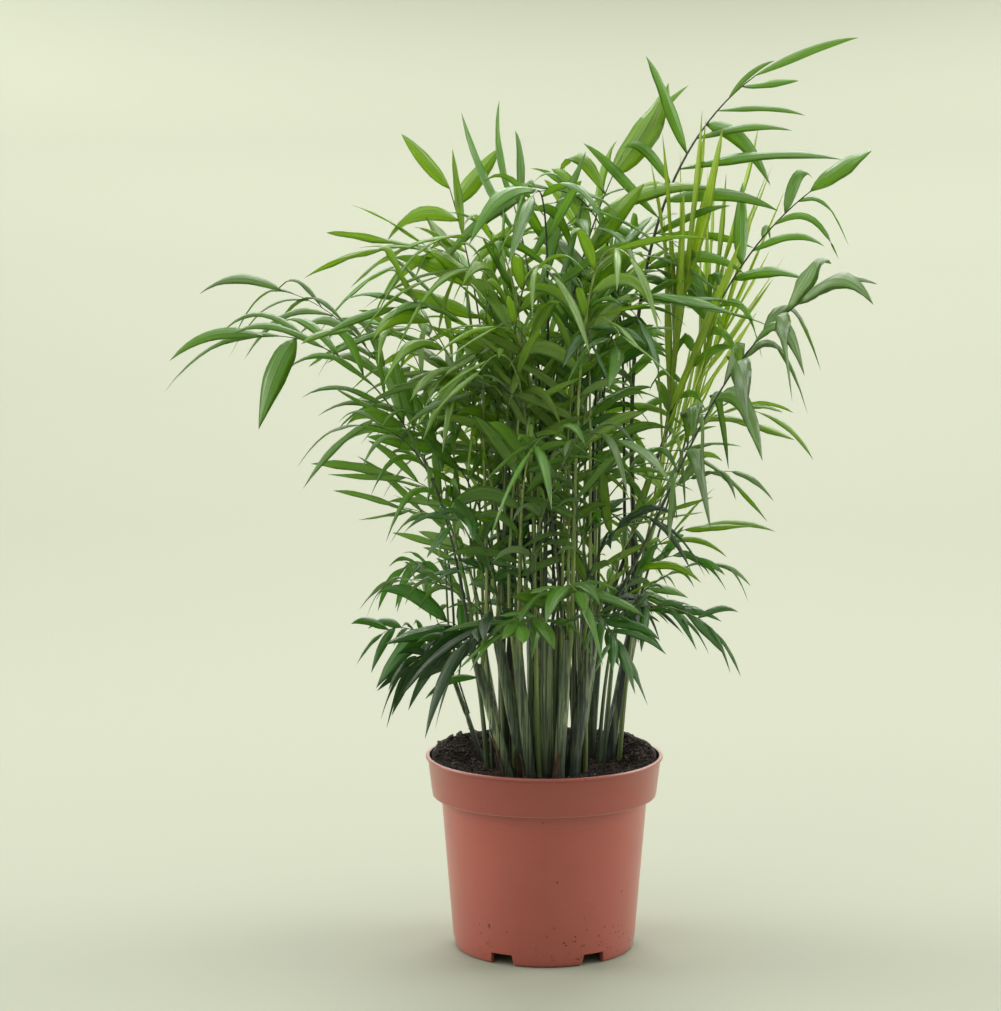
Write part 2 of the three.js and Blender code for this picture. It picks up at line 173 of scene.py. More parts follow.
class Tree:
    # adds nodes to a tree: a name with a capital is an input, _ for a space, and the others are settings
    def __init__(self, data):
        self.data = data

    def add(self, kind, *values, **names):
        node = self.data.nodes.new(kind)
        fields = dict(enumerate(values))
        for name, value in names.items():
            if name[0].isupper():
                fields[name.replace("_", " ")] = value
            else:
                setattr(node, name, value)
        for name, value in fields.items():
            self.feed(node.inputs[name], value)
        return Node(self, node)

    def shade(self, kind, *values, **names):
        return self.add("ShaderNode" + kind, *values, **names)

    def geo(self, kind, *values, **names):
        return self.add("GeometryNode" + kind, *values, **names)

    def feed(self, socket, value):
        if isinstance(value, Wire):
            self.data.links.new(value.socket, socket)
        elif value is not None:
            socket.default_value = value

    def group(self, kind, **fields):
        return self.shade("Group", node_tree=groups[kind], **fields)

    def marks(self, plan):
        # the masks and heights of several shared groups, by the names that a plan gives them
        marks = {}
        for name, (kind, fields) in plan.items():
            node = self.group(kind, **fields)
            marks[name] = node["Mask"]
            if kind == "streaks":
                marks[name + " Height"] = node["Height"]
        return marks

    def blend(self, share, first, second):
        # the inputs 6 and 7 and the output 2 of this node are its colours
        mixed = self.shade("Mix", share, data_type="RGBA")
        self.feed(mixed.node.inputs[6], first)
        self.feed(mixed.node.inputs[7], second)
        return mixed[2]

    def layers(self, colour, marks, coats):
        # lays one colour after another over the first, each by its own mark
        for name, share, coat in coats:
            colour = self.blend(marks[name] * share, colour, coat)
        return colour

    def grain(self, scale, place=None, detail=2.0, output="Fac"):
        return self.shade("TexNoise", Vector=place, Scale=scale, Detail=detail)[output]

    def place(self):
        # Object coordinates
        return self.shade("TexCoord")["Object"]

    def named(self, name, dataType="FLOAT"):
        return self.geo("InputNamedAttribute", Name=name, data_type=dataType)["Attribute"]

    def position(self):
        return self.geo("InputPosition")[0]

    def store(self, geometry, name, value, dataType, domain):
        return self.geo("StoreNamedAttribute", Geometry=geometry, Name=name, Value=value,
                        data_type=dataType, domain=domain)["Geometry"]

    def move(self, geometry, **fields):
        return self.geo("SetPosition", Geometry=geometry, **fields)["Geometry"]

    def instances(self, instance, points, **fields):
        # copies on points, made real at once
        placed = self.geo("InstanceOnPoints", Instance=instance, Points=points, **fields)["Instances"]
        return self.geo("RealizeInstances", placed)["Geometry"]

    def drawn(self, dataType, least, most):
        # a random value for each point
        first = 0 if dataType == "FLOAT_VECTOR" else 2
        node = self.add("FunctionNodeRandomValue", Seed=self.given["Seed"], data_type=dataType)
        self.feed(node.node.inputs[first], least)
        self.feed(node.node.inputs[first + 1], most)
        return node[first // 2]

    def scatter(self, bit, leastTurn, mostTurn, **fields):
        # copies of a bit all over the given surface, each with a turn of its own
        surface, density, seed = (self.given[label] for label in ("Geometry", "Density", "Seed"))
        points = self.geo("DistributePointsOnFaces", Mesh=surface, Density=density, Seed=seed)["Points"]
        return self.instances(bit, points, Rotation=self.drawn("FLOAT_VECTOR", leastTurn, mostTurn), **fields)

    def tube(self, curve, ring, **fields):
        return self.geo("CurveToMesh", Curve=curve, Profile_Curve=ring, Fill_Caps=True, **fields)["Mesh"]

    def weld(self, geometry, distance):
        return self.geo("MergeByDistance", Geometry=geometry, Distance=distance)["Geometry"]

    def finish(self, geometry):
        real = self.geo("RealizeInstances", geometry)["Geometry"]
        done = self.geo("SetMaterial", Geometry=real, Material=self.given["Material"])["Geometry"]
        return self.give(Geometry=done)

    def give(self, **results):
        for label, wire in results.items():
            self.feed(self.results[label], wire)
        return self.data


def newTree(name, kind, inputs, outputs):
    # a group whose inputs take their kind from their first value, or from their name where it is None
    tree = Tree(bpy.data.node_groups.new(name, kind))
    for label, value in inputs.items():
        label = label.replace("_", " ")
        socketKind = {float: "Float", int: "Int", tuple: "Vector"}.get(type(value), label.split()[-1])
        socket = tree.data.interface.new_socket(label, in_out="INPUT", socket_type="NodeSocket" + socketKind)
        if value is not None:
            socket.default_value = value
    for label in outputs:
        socketKind = "Geometry" if label == "Geometry" else "Float"
        tree.data.interface.new_socket(label, in_out="OUTPUT", socket_type="NodeSocket" + socketKind)
    tree.given = tree.add("NodeGroupInput")
    tree.results = tree.add("NodeGroupOutput").node.inputs
    return tree


def growthTree(name, **inputs):
    # a Geometry Nodes tree that takes geometry and sizes and gives dressed geometry
    inputs = {"Geometry": None, **inputs}
    if "Upper_Material" not in inputs:
        inputs["Material"] = None
    return newTree(name, "GeometryNodeTree", inputs, ["Geometry"])


def runTree(name, mesh, tree, **values):
    # runs a tree on a mesh and returns what it makes as a plain object
    carrier = addObject(name + "Source", mesh)
    modifier = carrier.modifiers.new("growth", "NODES")
    modifier.node_group = tree
    for socket in tree.interface.items_tree:
        label = socket.name.replace(" ", "_")
        if socket.in_out == "INPUT" and label in values:
            modifier[socket.identifier] = values[label]
    carrier.update_tag()
    graph = bpy.context.evaluated_depsgraph_get()
    grown = carrier.evaluated_get(graph)
    made = bpy.data.meshes.new_from_object(grown, preserve_all_data_layers=True, depsgraph=graph)
    bpy.data.objects.remove(carrier)
    made.name = name
    return addObject(name, made)


# Meshes and pieces

def addObject(name, data):
    piece = bpy.data.objects.new(name, data)
    bpy.context.scene.collection.objects.link(piece)
    return piece


def meshFrom(name, shape, smoothed=True):
    data = bpy.data.meshes.new(name)
    shape.to_mesh(data)
    shape.free()
    if smoothed:
        data.shade_smooth()
    return data


def pointMesh(name, points, edges, **values):
    # a mesh of points, or of lines, that carries numbers and directions for a tree
    mesh = bpy.data.meshes.new(name)
    mesh.from_pydata([tuple(point) for point in points], edges, [])
    for label, rows in values.items():
        table = np.array(rows, dtype=np.float32)
        kind, field = ("FLOAT_VECTOR", "vector") if table.ndim == 2 else ("FLOAT", "value")
        mesh.attributes.new(label, kind, "POINT").data.foreach_set(field, table.ravel())
    return mesh


def skin(shape, rings):
    # faces between rings of points, the first and the last of which may be a single point
    for ring, after in zip(rings, rings[1:]):
        sides = max(len(ring), len(after))
        for side in range(sides):
            follow = (side + 1) % sides
            if len(ring) == 1:
                corners = [ring[0], after[follow], after[side]]
            elif len(after) == 1:
                corners = [ring[side], ring[follow], after[0]]
            else:
                corners = [ring[side], ring[follow], after[follow], after[side]]
            shape.faces.new(corners)


def lathe(name, outline, sides, inward=False, shape=None):
    # turns an outline of (radius, height) round +Z; shape may move each point
    turning = bmesh.new()
    rings = []
    for radius, height in outline:
        ring = []
        for side in range(sides if radius > 1e-7 else 1):
            angle = 2 * math.pi * side / sides
            point = Vector((radius * math.cos(angle), radius * math.sin(angle), height))
            ring.append(turning.verts.new(shape(point) if shape else point))
        rings.append(ring)
    skin(turning, rings)
    if inward:
        bmesh.ops.reverse_faces(turning, faces=turning.faces)
    return meshFrom(name, turning)


def dress(piece, nodes, material=None):
    # every piece of the plant rides on the one body and stands for its nodes
    if material:
        piece.data.materials.clear()
        piece.data.materials.append(material)
    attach(piece, "root")
    if nodes:
        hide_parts(*nodes)


# Shared shader groups

markPlan = {
    "patchDetail": 4.0, "raggedFineness": 6.0, "raggedDepth": 0.3,  # of the mottle and the specks' edges
    # on a leaflet: how far the noise is stretched across or along it, and its step to the next leaflet
    "mottleWidth": 2.2, "mottleShift": 40.0, "mottleDetail": 3.0,
    "streakLength": 1.2, "streakShift": 60.0, "streakScale": 1.6, "streakContrast": 4.0,
    "midrib": (0.03, 0.11), "rootReach": 0.22, "veinRelief": 0.3,
}


def makeStreakGroup():
    # long fibres that run up a stem: noise stretched along Z
    tree = newTree("longStreaks", "ShaderNodeTree", dict(
        Width=900.0, Stretch=0.05, Sharpness=3.0, Offset=0.0), ["Mask", "Height"])
    squash = tree.shade("CombineXYZ", 1.0, 1.0, tree.given["Stretch"])[0]
    fibres = tree.grain(tree.given["Width"], tree.place() * squash + tree.given["Offset"])
    return tree.give(Mask=fibres.contrast(tree.given["Sharpness"]), Height=fibres)


def makeMottleGroup():
    # soft patches of a second tone
    tree = newTree("softMottle", "ShaderNodeTree", dict(
        Scale=60.0, Contrast=2.0, Stretch=(1.0, 1.0, 1.0)), ["Mask"])
    patches = tree.grain(tree.given["Scale"], tree.place() * tree.given["Stretch"], markPlan["patchDetail"])
    return tree.give(Mask=patches.contrast(tree.given["Contrast"]))


def makeSpeckGroup():
    # scattered dots: a few cells of a cell pattern, more of them low down
    tree = newTree("scatteredSpecks", "ShaderNodeTree", dict(
        Scale=160.0, Size=0.2, Low_Share=0.3, High_Share=0.02, Reach=0.05), ["Mask"])
    given, place = tree.given, tree.place()
    height = place.parts()[2]
    ragged = tree.grain(given["Scale"] * markPlan["raggedFineness"], place, output="Color") - 0.5
    moved = place + ragged * (markPlan["raggedDepth"] / given["Scale"])
    cells = tree.shade("TexVoronoi", Vector=moved, Scale=given["Scale"])
    share = height.spread(0.0, given["Reach"], given["Low Share"], given["High Share"])
    pick = tree.shade("SeparateColor", cells["Color"])
    inside = cells["Distance"].step("LESS_THAN", given["Size"] * pick[1])
    return tree.give(Mask=pick[0].step("LESS_THAN", share) * inside)


def makeBladeGroup():
    # markings of a leaflet, from its own map: X runs along it and Y across
    plan = markPlan
    tree = newTree("bladeMarks", "ShaderNodeTree", dict(Veins=9.0, Mottle_Scale=5.0),
                   ["Midrib", "Relief", "Mottle", "Root", "Streaks", "Lines"])
    along, across = tree.shade("UVMap", uv_map="bladeMap")[0].parts()[:2]
    across = across * 2.0 - 1.0
    aside = across.step("ABSOLUTE")
    tint = tree.shade("Attribute", attribute_name="tint")["Fac"]
    spot = tree.shade("CombineXYZ", along, across * plan["mottleWidth"], tint * plan["mottleShift"])[0]
    mottle = tree.grain(tree.given["Mottle Scale"], spot, plan["mottleDetail"])
    stretched = tree.shade("CombineXYZ", along * plan["streakLength"], across * tree.given["Veins"],
                           tint * plan["streakShift"])[0]
    streaks = tree.grain(plan["streakScale"], stretched).contrast(plan["streakContrast"])
    veins = (aside * (tree.given["Veins"] * math.tau)).step("COSINE")
    midrib = aside.spread(*plan["midrib"], 1.0, 0.0)
    relief = veins * plan["veinRelief"] + midrib
    return tree.give(Midrib=midrib, Relief=relief, Mottle=mottle, Streaks=streaks,
                     Root=along.spread(0.0, plan["rootReach"], 1.0, 0.0), Lines=(veins * 0.5 + 0.5) * streaks)


groups = {
    "streaks": makeStreakGroup(), "mottle": makeMottleGroup(),
    "specks": makeSpeckGroup(), "blade": makeBladeGroup(),
}


def newMaterial(name, **values):
    # a Principled surface; what is the same all over is set on its own sockets
    material = bpy.data.materials.new(name)
    material.use_nodes = True
    tree = Tree(material.node_tree)
    tree.material, tree.shader = material, material.node_tree.nodes["Principled BSDF"]
    for label, value in values.items():
        tree.shader.inputs[label.replace("_", " ")].default_value = value
    return tree


def finishMaterial(tree, colour, roughness, relief):
    # roughness is (share, least, most) and relief (height, strength, distance)
    share, least, most = roughness
    height, strength, distance = relief
    bump = tree.shade("Bump", Height=height, Strength=strength, Distance=distance)[0]
    rough = share.spread(0.0, 1.0, least, most, "LINEAR")
    for label, wire in (("Base Color", colour), ("Roughness", rough), ("Normal", bump)):
        tree.feed(tree.shader.inputs[label], wire)
    return tree.material


# Camera, floor and lights

cameraPlan = {"place": (-0.0314, -2.045, 0.5798), "tilt": 82.74, "focal": 103.41, "sensor": 36}
stagePlan = {
    "flat": 1.2, "wall": 5.2, "height": 1.9, "sides": 96, "steps": 24, "bend": 60,
    "colour": (0.345, 0.362, 0.292), "cloud": (0.4, 0.4, 0.35, 1.0), "cloudShare": 0.02,
    # the floor grows paler away from the lamps: radius in metres and how much paler
    "paler": ((0.0, 1.0), (1.9, 1.0), (2.5, 1.07), (2.9, 1.16), (3.3, 1.34), (3.7, 1.84), (4.3, 2.6)),
}
lightPlan = {
    "target": (0.0, 0.0, 0.36), "sky": srgb(255, 255, 252), "skyStrength": 0.68,
    "lamps": {  # place, size, watts, colour
        "leftLight": ((-2.4, 0.35, 1.0), (1.4, 2.4), 50, srgb(255, 253, 248)),
        "rightLight": ((2.4, 0.35, 1.0), (1.4, 2.4), 50, srgb(255, 253, 248)),
        "topLight": ((0.0, 0.3, 2.6), (1.8, 1.8), 34, srgb(255, 255, 250)),
        "backLight": ((0.2, 2.7, 2.3), (3.0, 1.7), 80, srgb(255, 255, 248)),
        "keyLight": ((-1.3, -2.2, 2.3), (1.4, 1.4), 12, srgb(255, 250, 240)),
    },
}


def makeCamera():
    data = bpy.data.cameras.new("camera")
    data.lens = cameraPlan["focal"]
    data.sensor_width = cameraPlan["sensor"]
    camera = addObject("camera", data)
    camera.location = cameraPlan["place"]
    camera.rotation_euler = (math.radians(cameraPlan["tilt"]), 0, 0)
    bpy.context.scene.camera = camera
    bpy.context.scene.view_settings.view_transform = "Standard"


def makeStage():
    # a round floor that curves up into a pale wall, open at the top
    plan = stagePlan
    flat, wall = plan["flat"], plan["wall"]
    outline = [(0.0, 0.0), (flat, 0.0)]
    for step in range(1, plan["steps"] + 1):
        angle = math.radians(plan["bend"] * step / plan["steps"])
        rise = 2 * plan["height"] * (1 - math.cos(angle))
        outline.append((flat + (wall - flat) * math.sin(angle), rise))
    floor = addObject("studioFloor", lathe("studioFloor", outline, plan["sides"], inward=True))
    tree = newMaterial("paleFloor", Roughness=0.9, Specular_IOR_Level=0.2)
    cloud = tree.group("mottle", Scale=1.2, Contrast=0.4)["Mask"]
    ramp = tree.shade("ValToRGB", Fac=tree.place().fromAxis() / wall)
    stops = ramp.node.color_ramp.elements
    for away, paler in plan["paler"]:
        stops.new(min(away / wall + 0.001, 0.99)).color = tinted(plan["colour"], paler)
    stops.remove(stops[0])
    stops.remove(stops[-1])
    colour = tree.blend(cloud * plan["cloudShare"], ramp["Color"], plan["cloud"])
    tree.feed(tree.shader.inputs["Base Color"], colour)
    floor.data.materials.append(tree.material)


def makeLights():
    world = bpy.data.worlds.new("studioSky")
    world.use_nodes = True
    background = world.node_tree.nodes["Background"].inputs
    background["Color"].default_value = lightPlan["sky"]
    background["Strength"].default_value = lightPlan["skyStrength"]
    bpy.context.scene.world = world
    for name, (place, size, watts, colour) in lightPlan["lamps"].items():
        data = bpy.data.lights.new(name, "AREA")
        data.shape = "RECTANGLE"
        data.size, data.size_y = size
        data.energy = watts
        data.color = colour[:3]
        lamp = addObject(name, data)
        lamp.location = place
        aim = Vector(lightPlan["target"]) - Vector(place)
        lamp.rotation_euler = aim.to_track_quat("-Z", "Y").to_euler()


makeCamera()
makeStage()
makeLights()
print("camera, floor and lights")


# Pot

potPlan = {
    "rimDiameter": 170, "height": 140, "collarHeight": 29, "collarFootDiameter": 160.5,
    "bodyTopDiameter": 147.7, "bodyFootDiameter": 129.8, "underside": 124, "footRounding": 3.2,
    "wall": 1.4, "lip": 1.2, "lipHeight": 2.6, "rounding": 0.8,
    "notchCount": 6, "notchWidth": 19, "notchTopWidth": 16, "notchHeight": 8.4, "notchFoot": -1,
    "notchInnerRadius": 57.5, "notchOuterRadius": 70, "footTurn": 1.8, "recess": 9.4, "recessRadius": 60.2,
    "sides": 192, "edgeWidth": 0.45, "bevelAngle": 50, "sharpAngle": 40,
    "clay": srgb(160, 62, 53), "clayDark": srgb(148, 55, 47), "clayPale": srgb(176, 82, 71),
    # the deep clay colour, first on the next line, is painted shade for the collar
    "clayDeep": srgb(122, 34, 27), "clayWarm": srgb(172, 82, 54), "dust": srgb(158, 118, 106),
    # the pale colour first on the next line is a painted highlight, and the dark one after it is painted
    # shade over soil stain
    "paintedHighlight": srgb(204, 146, 132), "dirt": srgb(44, 26, 24), "speck": srgb(62, 18, 14),
    "marks": {
        "mottle": ("mottle", dict(Scale=24.0, Contrast=1.5)),
        "cloud": ("mottle", dict(Scale=9.0, Contrast=2.0, Stretch=(1.0, 1.0, 0.7))),
        "warm": ("mottle", dict(Scale=15.0, Contrast=4.0, Stretch=(1.0, 1.0, 1.6))),
        "scratches": ("mottle", dict(Scale=240.0, Contrast=4.0, Stretch=(0.22, 0.22, 5.0))),
        "clumps": ("mottle", dict(Scale=22.0, Contrast=4.0)),
        "streaks": ("streaks", dict(Width=260.0, Stretch=0.06, Sharpness=1.4)),
        "dots": ("specks", dict(Scale=150.0, Size=0.24, Low_Share=0.34, High_Share=0.016, Reach=0.05)),
        "grains": ("specks", dict(Scale=480.0, Size=0.5, Low_Share=0.62, High_Share=0.004, Reach=0.034)),
        "spots": ("specks", dict(Scale=75.0, Size=0.07, Low_Share=0.12, High_Share=0.1, Reach=0.14)),
    },
    "coats": (  # mark, share, colour
        ("mottle", 1.0, "clayDark"), ("warm", 0.24, "clayWarm"), ("scratches", 0.16, "clayPale"),
        # the darker tone laid over the whole collar is painted shade, for a collar that leans out and faces
        # down
        ("cloud", 0.34, "clayPale"), ("streaks", 0.2, "clayPale"), ("collar", 0.38, "clayDeep"),
        # on the next line the pale coat on the edges is a painted highlight, and the dark coat inside the rim
        # is painted shade over soil stain
        ("film", 1.0, "dust"), ("paintedHighlight", 1.0, "paintedHighlight"), ("shadeAndStain", 0.9, "dirt"), ("specks", 0.9, "speck"),
    ),
    # painted highlight where the collar starts and at the lip: from, to and blur in mm, and its share
    "edgeBand": (-0.4, 0.7, 0.4), "edgeWear": 0.55, "edgeReach": 3,
    "lipBand": (-0.5, 1, 0.3), "lipWear": 0.15, "film": (0.14, 0.05), "filmHeight": 90,
    # inside the collar all that is nearer the axis than this line is darkened: painted shade on the inner
    # wall, over soil stain
    "stainRadius": 69.1, "stainSlope": 0.0988,
    "roughness": (0.34, 0.48), "poreScale": 1400.0, "speckRelief": 1.5, "relief": (0.25, 0.0002),
}
shoulder = potPlan["height"] - potPlan["collarHeight"]  # where the collar starts


def bodyRadius(height):
    return mix(potPlan["bodyFootDiameter"], potPlan["bodyTopDiameter"], height / shoulder) / 2


def collarRadius(height):
    top = potPlan["rimDiameter"] / 2 - potPlan["lip"]
    return mix(potPlan["collarFootDiameter"] / 2, top, (height - shoulder) / potPlan["collarHeight"])


def arcPoints(centre, radius, start, end, steps):
    # points of an arc in the outline's plane, its angles in degrees from straight out
    points = []
    for step in range(steps + 1):
        angle = math.radians(mix(start, end, step / steps))
        points.append((centre[0] + radius * math.cos(angle), centre[1] + radius * math.sin(angle)))
    return points


def inMetres(outline):
    return [(radius * mm, height * mm) for radius, height in outline]


def potOutline():
    # from the middle of the underside up the outside, over the lip and down the inside
    plan = potPlan
    wall, rounding, top = plan["wall"], plan["rounding"], plan["height"]
    rim, lipFoot, bend = plan["rimDiameter"] / 2, top - plan["lipHeight"], plan["footRounding"]
    recess, base, under = plan["recess"], plan["recess"] + wall, plan["underside"] / 2
    outline = [(0, recess), (plan["recessRadius"] - 0.3, recess), (plan["recessRadius"], 0), (under - 1, 0)]
    outline += arcPoints((under - 0.6, bend), bend, -85, -15, 6)
    outline += [(bodyRadius(height), height) for height in (9, 60, shoulder - 1.5)]
    outline += arcPoints((bodyRadius(shoulder) + rounding, shoulder - rounding), rounding, 180, 90, 4)
    outline += arcPoints((collarRadius(shoulder) - rounding, shoulder + rounding), rounding, -90, 0, 6)
    outline += [(collarRadius(height), height) for height in (120, lipFoot - 0.6)]
    outline += [(collarRadius(lipFoot) + 0.25, lipFoot - 0.1)]
    outline += arcPoints((rim - 1.15, lipFoot + 1.2), 1.15, -45, 20, 4)
    outline += arcPoints((rim - 1.1, top - 1.1), 1.1, 20, 110, 6)
    outline += [(collarRadius(top) - wall, top - 0.25), (collarRadius(top - 1) - wall, top - 1.2)]
    ledge = shoulder + wall
    outline += [(collarRadius(ledge) - wall, ledge), (bodyRadius(shoulder) - wall, ledge)]
    outline += [(bodyRadius(base + 3) - wall, base + 3), (bodyRadius(base) - wall - 2, base), (0, base)]
    return inMetres(outline)


def notchCutters():
    # six blocks, narrower at their tops, that part the feet
    plan = potPlan
    cutter = bmesh.new()
    wide, narrow = plan["notchWidth"] / 2, plan["notchTopWidth"] / 2
    low, high = plan["notchFoot"], plan["notchHeight"]
    for index in range(plan["notchCount"]):
        turn = plan["footTurn"] + (index + 0.5) * 360 / plan["notchCount"] - 90
        out, side = flatDirection(turn), flatDirection(turn + 90)
        corners = []
        for reach in (plan["notchInnerRadius"], plan["notchOuterRadius"]):
            for half, height in ((-wide, low), (wide, low), (narrow, high), (-narrow, high)):
                corners.append(cutter.verts.new((out * reach + side * half + up * height) * mm))
        for face in ((0, 1, 2, 3), (7, 6, 5, 4), (0, 4, 5, 1), (1, 5, 6, 2), (2, 6, 7, 3), (3, 7, 4, 0)):
            cutter.faces.new([corners[corner] for corner in face])
    bmesh.ops.recalc_face_normals(cutter, faces=cutter.faces)
    return addObject("notchCutters", meshFrom("notchCutters", cutter, smoothed=False))


def makePotMaterial():
    plan = potPlan
    tree = newMaterial("terracottaPlastic", Specular_IOR_Level=0.6, Coat_Weight=0.6, Coat_Roughness=0.3)
    marks = tree.marks(plan["marks"])
    place = tree.place()
    radius, height = place.fromAxis(), place.parts()[2]
    foot, top = shoulder * mm, plan["height"] * mm
    outside = radius.step("GREATER_THAN", (bodyRadius(shoulder) + plan["edgeReach"]) * mm)
    edge, lip = (height.band(level + low * mm, level + high * mm, blur * mm) for level, (low, high, blur)
                 in ((foot, plan["edgeBand"]), (top, plan["lipBand"])))
    edge, lip = edge * outside * plan["edgeWear"], lip * plan["lipWear"]
    # a painted highlight along the collar's lower edge, outside only, and round the lip
    marks["paintedHighlight"] = edge.step("MAXIMUM", lip)
    marks["collar"] = height.step("GREATER_THAN", foot)
    marks["film"] = height.spread(0.0, plan["filmHeight"] * mm, *plan["film"], "LINEAR")
    # the inner wall is darkened: painted shade, with soil stain
    shadedAndSoiled = radius.step("LESS_THAN", height * plan["stainSlope"] + plan["stainRadius"] * mm)
    marks["shadeAndStain"] = shadedAndSoiled * marks["collar"]
    low = marks["dots"].step("MAXIMUM", marks["grains"]) * marks["clumps"]
    specks = marks["specks"] = low.step("MAXIMUM", marks["spots"])
    coats = [(name, share, plan[coat]) for name, share, coat in plan["coats"]]
    colour = tree.layers(plan["clay"], marks, coats)
    pores = tree.grain(plan["poreScale"], place)
    uneven = marks["mottle"].step("MAXIMUM", specks)
    relief = (specks * plan["speckRelief"] + pores, *plan["relief"])
    return finishMaterial(tree, colour, (uneven, *plan["roughness"]), relief)


def makePot():
    pot = addObject("nurseryPot", lathe("nurseryPot", potOutline(), potPlan["sides"]))
    cutters = notchCutters()
    cut = pot.modifiers.new("notches", "BOOLEAN")
    cut.operation = "DIFFERENCE"
    cut.solver = "EXACT"
    cut.object = cutters
    edge = pot.modifiers.new("edges", "BEVEL")
    edge.limit_method = "ANGLE"
    edge.angle_limit = math.radians(potPlan["bevelAngle"])
    edge.width = potPlan["edgeWidth"] * mm
    edge.segments = 2
    graph = bpy.context.evaluated_depsgraph_get()
    finished = bpy.data.meshes.new_from_object(pot.evaluated_get(graph), depsgraph=graph)
    pot.modifiers.clear()
    pot.data = finished
    finished.name = "nurseryPot"
    bpy.data.objects.remove(cutters)
    finished.shade_smooth()
    finished.set_sharp_from_angle(angle=math.radians(potPlan["sharpAngle"]))
    dress(pot, ["pot"], makePotMaterial())


makePot()
print("pot")


# Soil

soilPlan = {
    "level": 131, "edgeLevel": 127, "footDiameter": 116, "cornerHeight": 8, "gap": 0.3,
    "rings": 56, "sides": 200, "highest": 143, "mound": 3, "bank": 7.0, "backBank": 6.5, "bankStart": 52,
    "bankMargin": 4, "behind": (1.6, 0.3), "edgeCalm": 3, "calmShare": 0.5, "surfaceDepth": 6,
    # size and height of lumps, crumbs and fine grain, each from its own spot of the noise
    "bumps": ((13, 3.2, (0, 0, 0)), (4, 1.6, (7, 3, 1)), (1.6, 0.5, (0, 0, 0))),
    "looks": {  # light, dark, roughness, depth of relief
        "dampPeat": (srgb(84, 68, 60), srgb(34, 28, 27), 0.95, 0.0015),
        "bark": (srgb(80, 62, 52), srgb(34, 24, 20), 0.85, 0.0008),
        "grit": (srgb(206, 200, 190), srgb(120, 108, 96), 0.7, 0.0004),
        "fibre": (srgb(140, 114, 84), srgb(58, 40, 28), 0.8, 0.0003),
    },
    "marks": {
        "patches": ("mottle", dict(Scale=150.0, Contrast=3.0)),
        "grain": ("mottle", dict(Scale=900.0, Contrast=3.5)),
    },
    "smoother": 0.15, "reliefStrength": 0.6,
}
scatterPlan = {
    "reach": 78, "fibreReach": 66, "wear": 700.0,
    # the fibres' tilt either way, and the noise that bends them: its fineness, middle and strength
    "fibrePoints": 8, "fibreTilt": 0.25, "fibreWave": 90.0, "fibreMiddle": (0.5, 0.5, 0.45),
    "fibreStrength": (1.0, 1.0, 0.4),
    "bits": {  # look, then the inputs of the tree
        "peatCrumbs": ("dampPeat", dict(
            Density=260000.0, Smallest=0.0006, Largest=0.0019, Flatness=0.75, Seed=3)),
        "barkBits": ("bark", dict(Density=5200.0, Smallest=0.0016, Largest=0.0046, Flatness=0.42, Seed=8)),
        "gritGrains": ("grit", dict(Density=6500.0, Smallest=0.0003, Largest=0.0008, Flatness=0.9, Seed=21)),
    },
}
chunkPlan = {
    "bumps": (0.28, 1.7), "edges": (0.2, 5), "flatness": 0.4,
    "rows": [  # x, y, height of the middle, length, width, turn, tilt
        (-70, 34, 143, 13, 5, 20, 38), (-62, 44, 143, 11, 5, 70, 40), (-75, 22, 141, 10, 4, 110, 36),
        (-50, 56, 144, 12, 5, 140, 22), (62, 42, 144.5, 13, 7, 160, 20), (50, 56, 143, 10, 6, 30, 14),
        (68, 30, 142.5, 9, 5, 100, 26), (-66, -18, 135, 10, 5, 60, 14), (60, -30, 134, 10, 6, 80, 15),
        (40, -52, 133, 9, 5, 20, 12), (-46, -50, 133, 9, 5, 120, 12),
    ],
}


def soilSurface(point):
    # the top of the soil: a low mound with lumps and crumbs, banked against the rim
    plan = soilPlan
    radius = math.hypot(point.x, point.y) / mm
    edge = collarRadius(plan["edgeLevel"]) - potPlan["wall"] - plan["gap"]
    bank = smooth((radius - plan["bankStart"]) / (edge - plan["bankMargin"] - plan["bankStart"]))
    steepness, middle = plan["behind"]
    behind = smooth(point.y / (edge * mm) * steepness + middle)
    level = plan["edgeLevel"] + plan["mound"] + bank * (plan["bank"] + plan["backBank"] * behind)
    calm = 1 - plan["calmShare"] * smooth((radius - edge + plan["edgeCalm"]) / plan["edgeCalm"])
    spot = Vector((point.x, point.y, 0.0)) / mm
    rough = sum(noise.noise(spot / size + Vector(start)) * height for size, height, start in plan["bumps"])
    return min(level + rough * calm, plan["highest"]) * mm


def soilOutline():
    plan = soilPlan
    inside = potPlan["wall"] + plan["gap"]
    ledge, foot = shoulder + inside, potPlan["recess"] + inside
    corner = foot + plan["cornerHeight"]
    edge = collarRadius(plan["edgeLevel"]) - inside
    outline = [(0, foot), (plan["footDiameter"] / 2, foot), (bodyRadius(corner) - inside, corner)]
    outline += [(bodyRadius(shoulder) - inside, ledge), (collarRadius(ledge) - inside, ledge)]
    outline += [(edge * (1 - ring / plan["rings"]), plan["level"]) for ring in range(plan["rings"])]
    return inMetres(outline + [(0, plan["level"])])


def lieOnTop(point):
    # lifts the flat top of the outline to the uneven surface
    if point.z > (soilPlan["level"] - 0.5) * mm:
        return Vector((point.x, point.y, soilSurface(point)))
    return point


def makeSoilMaterial(name, light, dark, roughness, relief):
    tree = newMaterial(name, Specular_IOR_Level=0.3)
    marks = tree.marks(soilPlan["marks"])
    grain = marks["grain"]
    colour = tree.blend(marks["patches"] * grain, dark, light)
    return finishMaterial(tree, colour, (grain, roughness - soilPlan["smoother"], roughness),
                          (grain, soilPlan["reliefStrength"], relief))


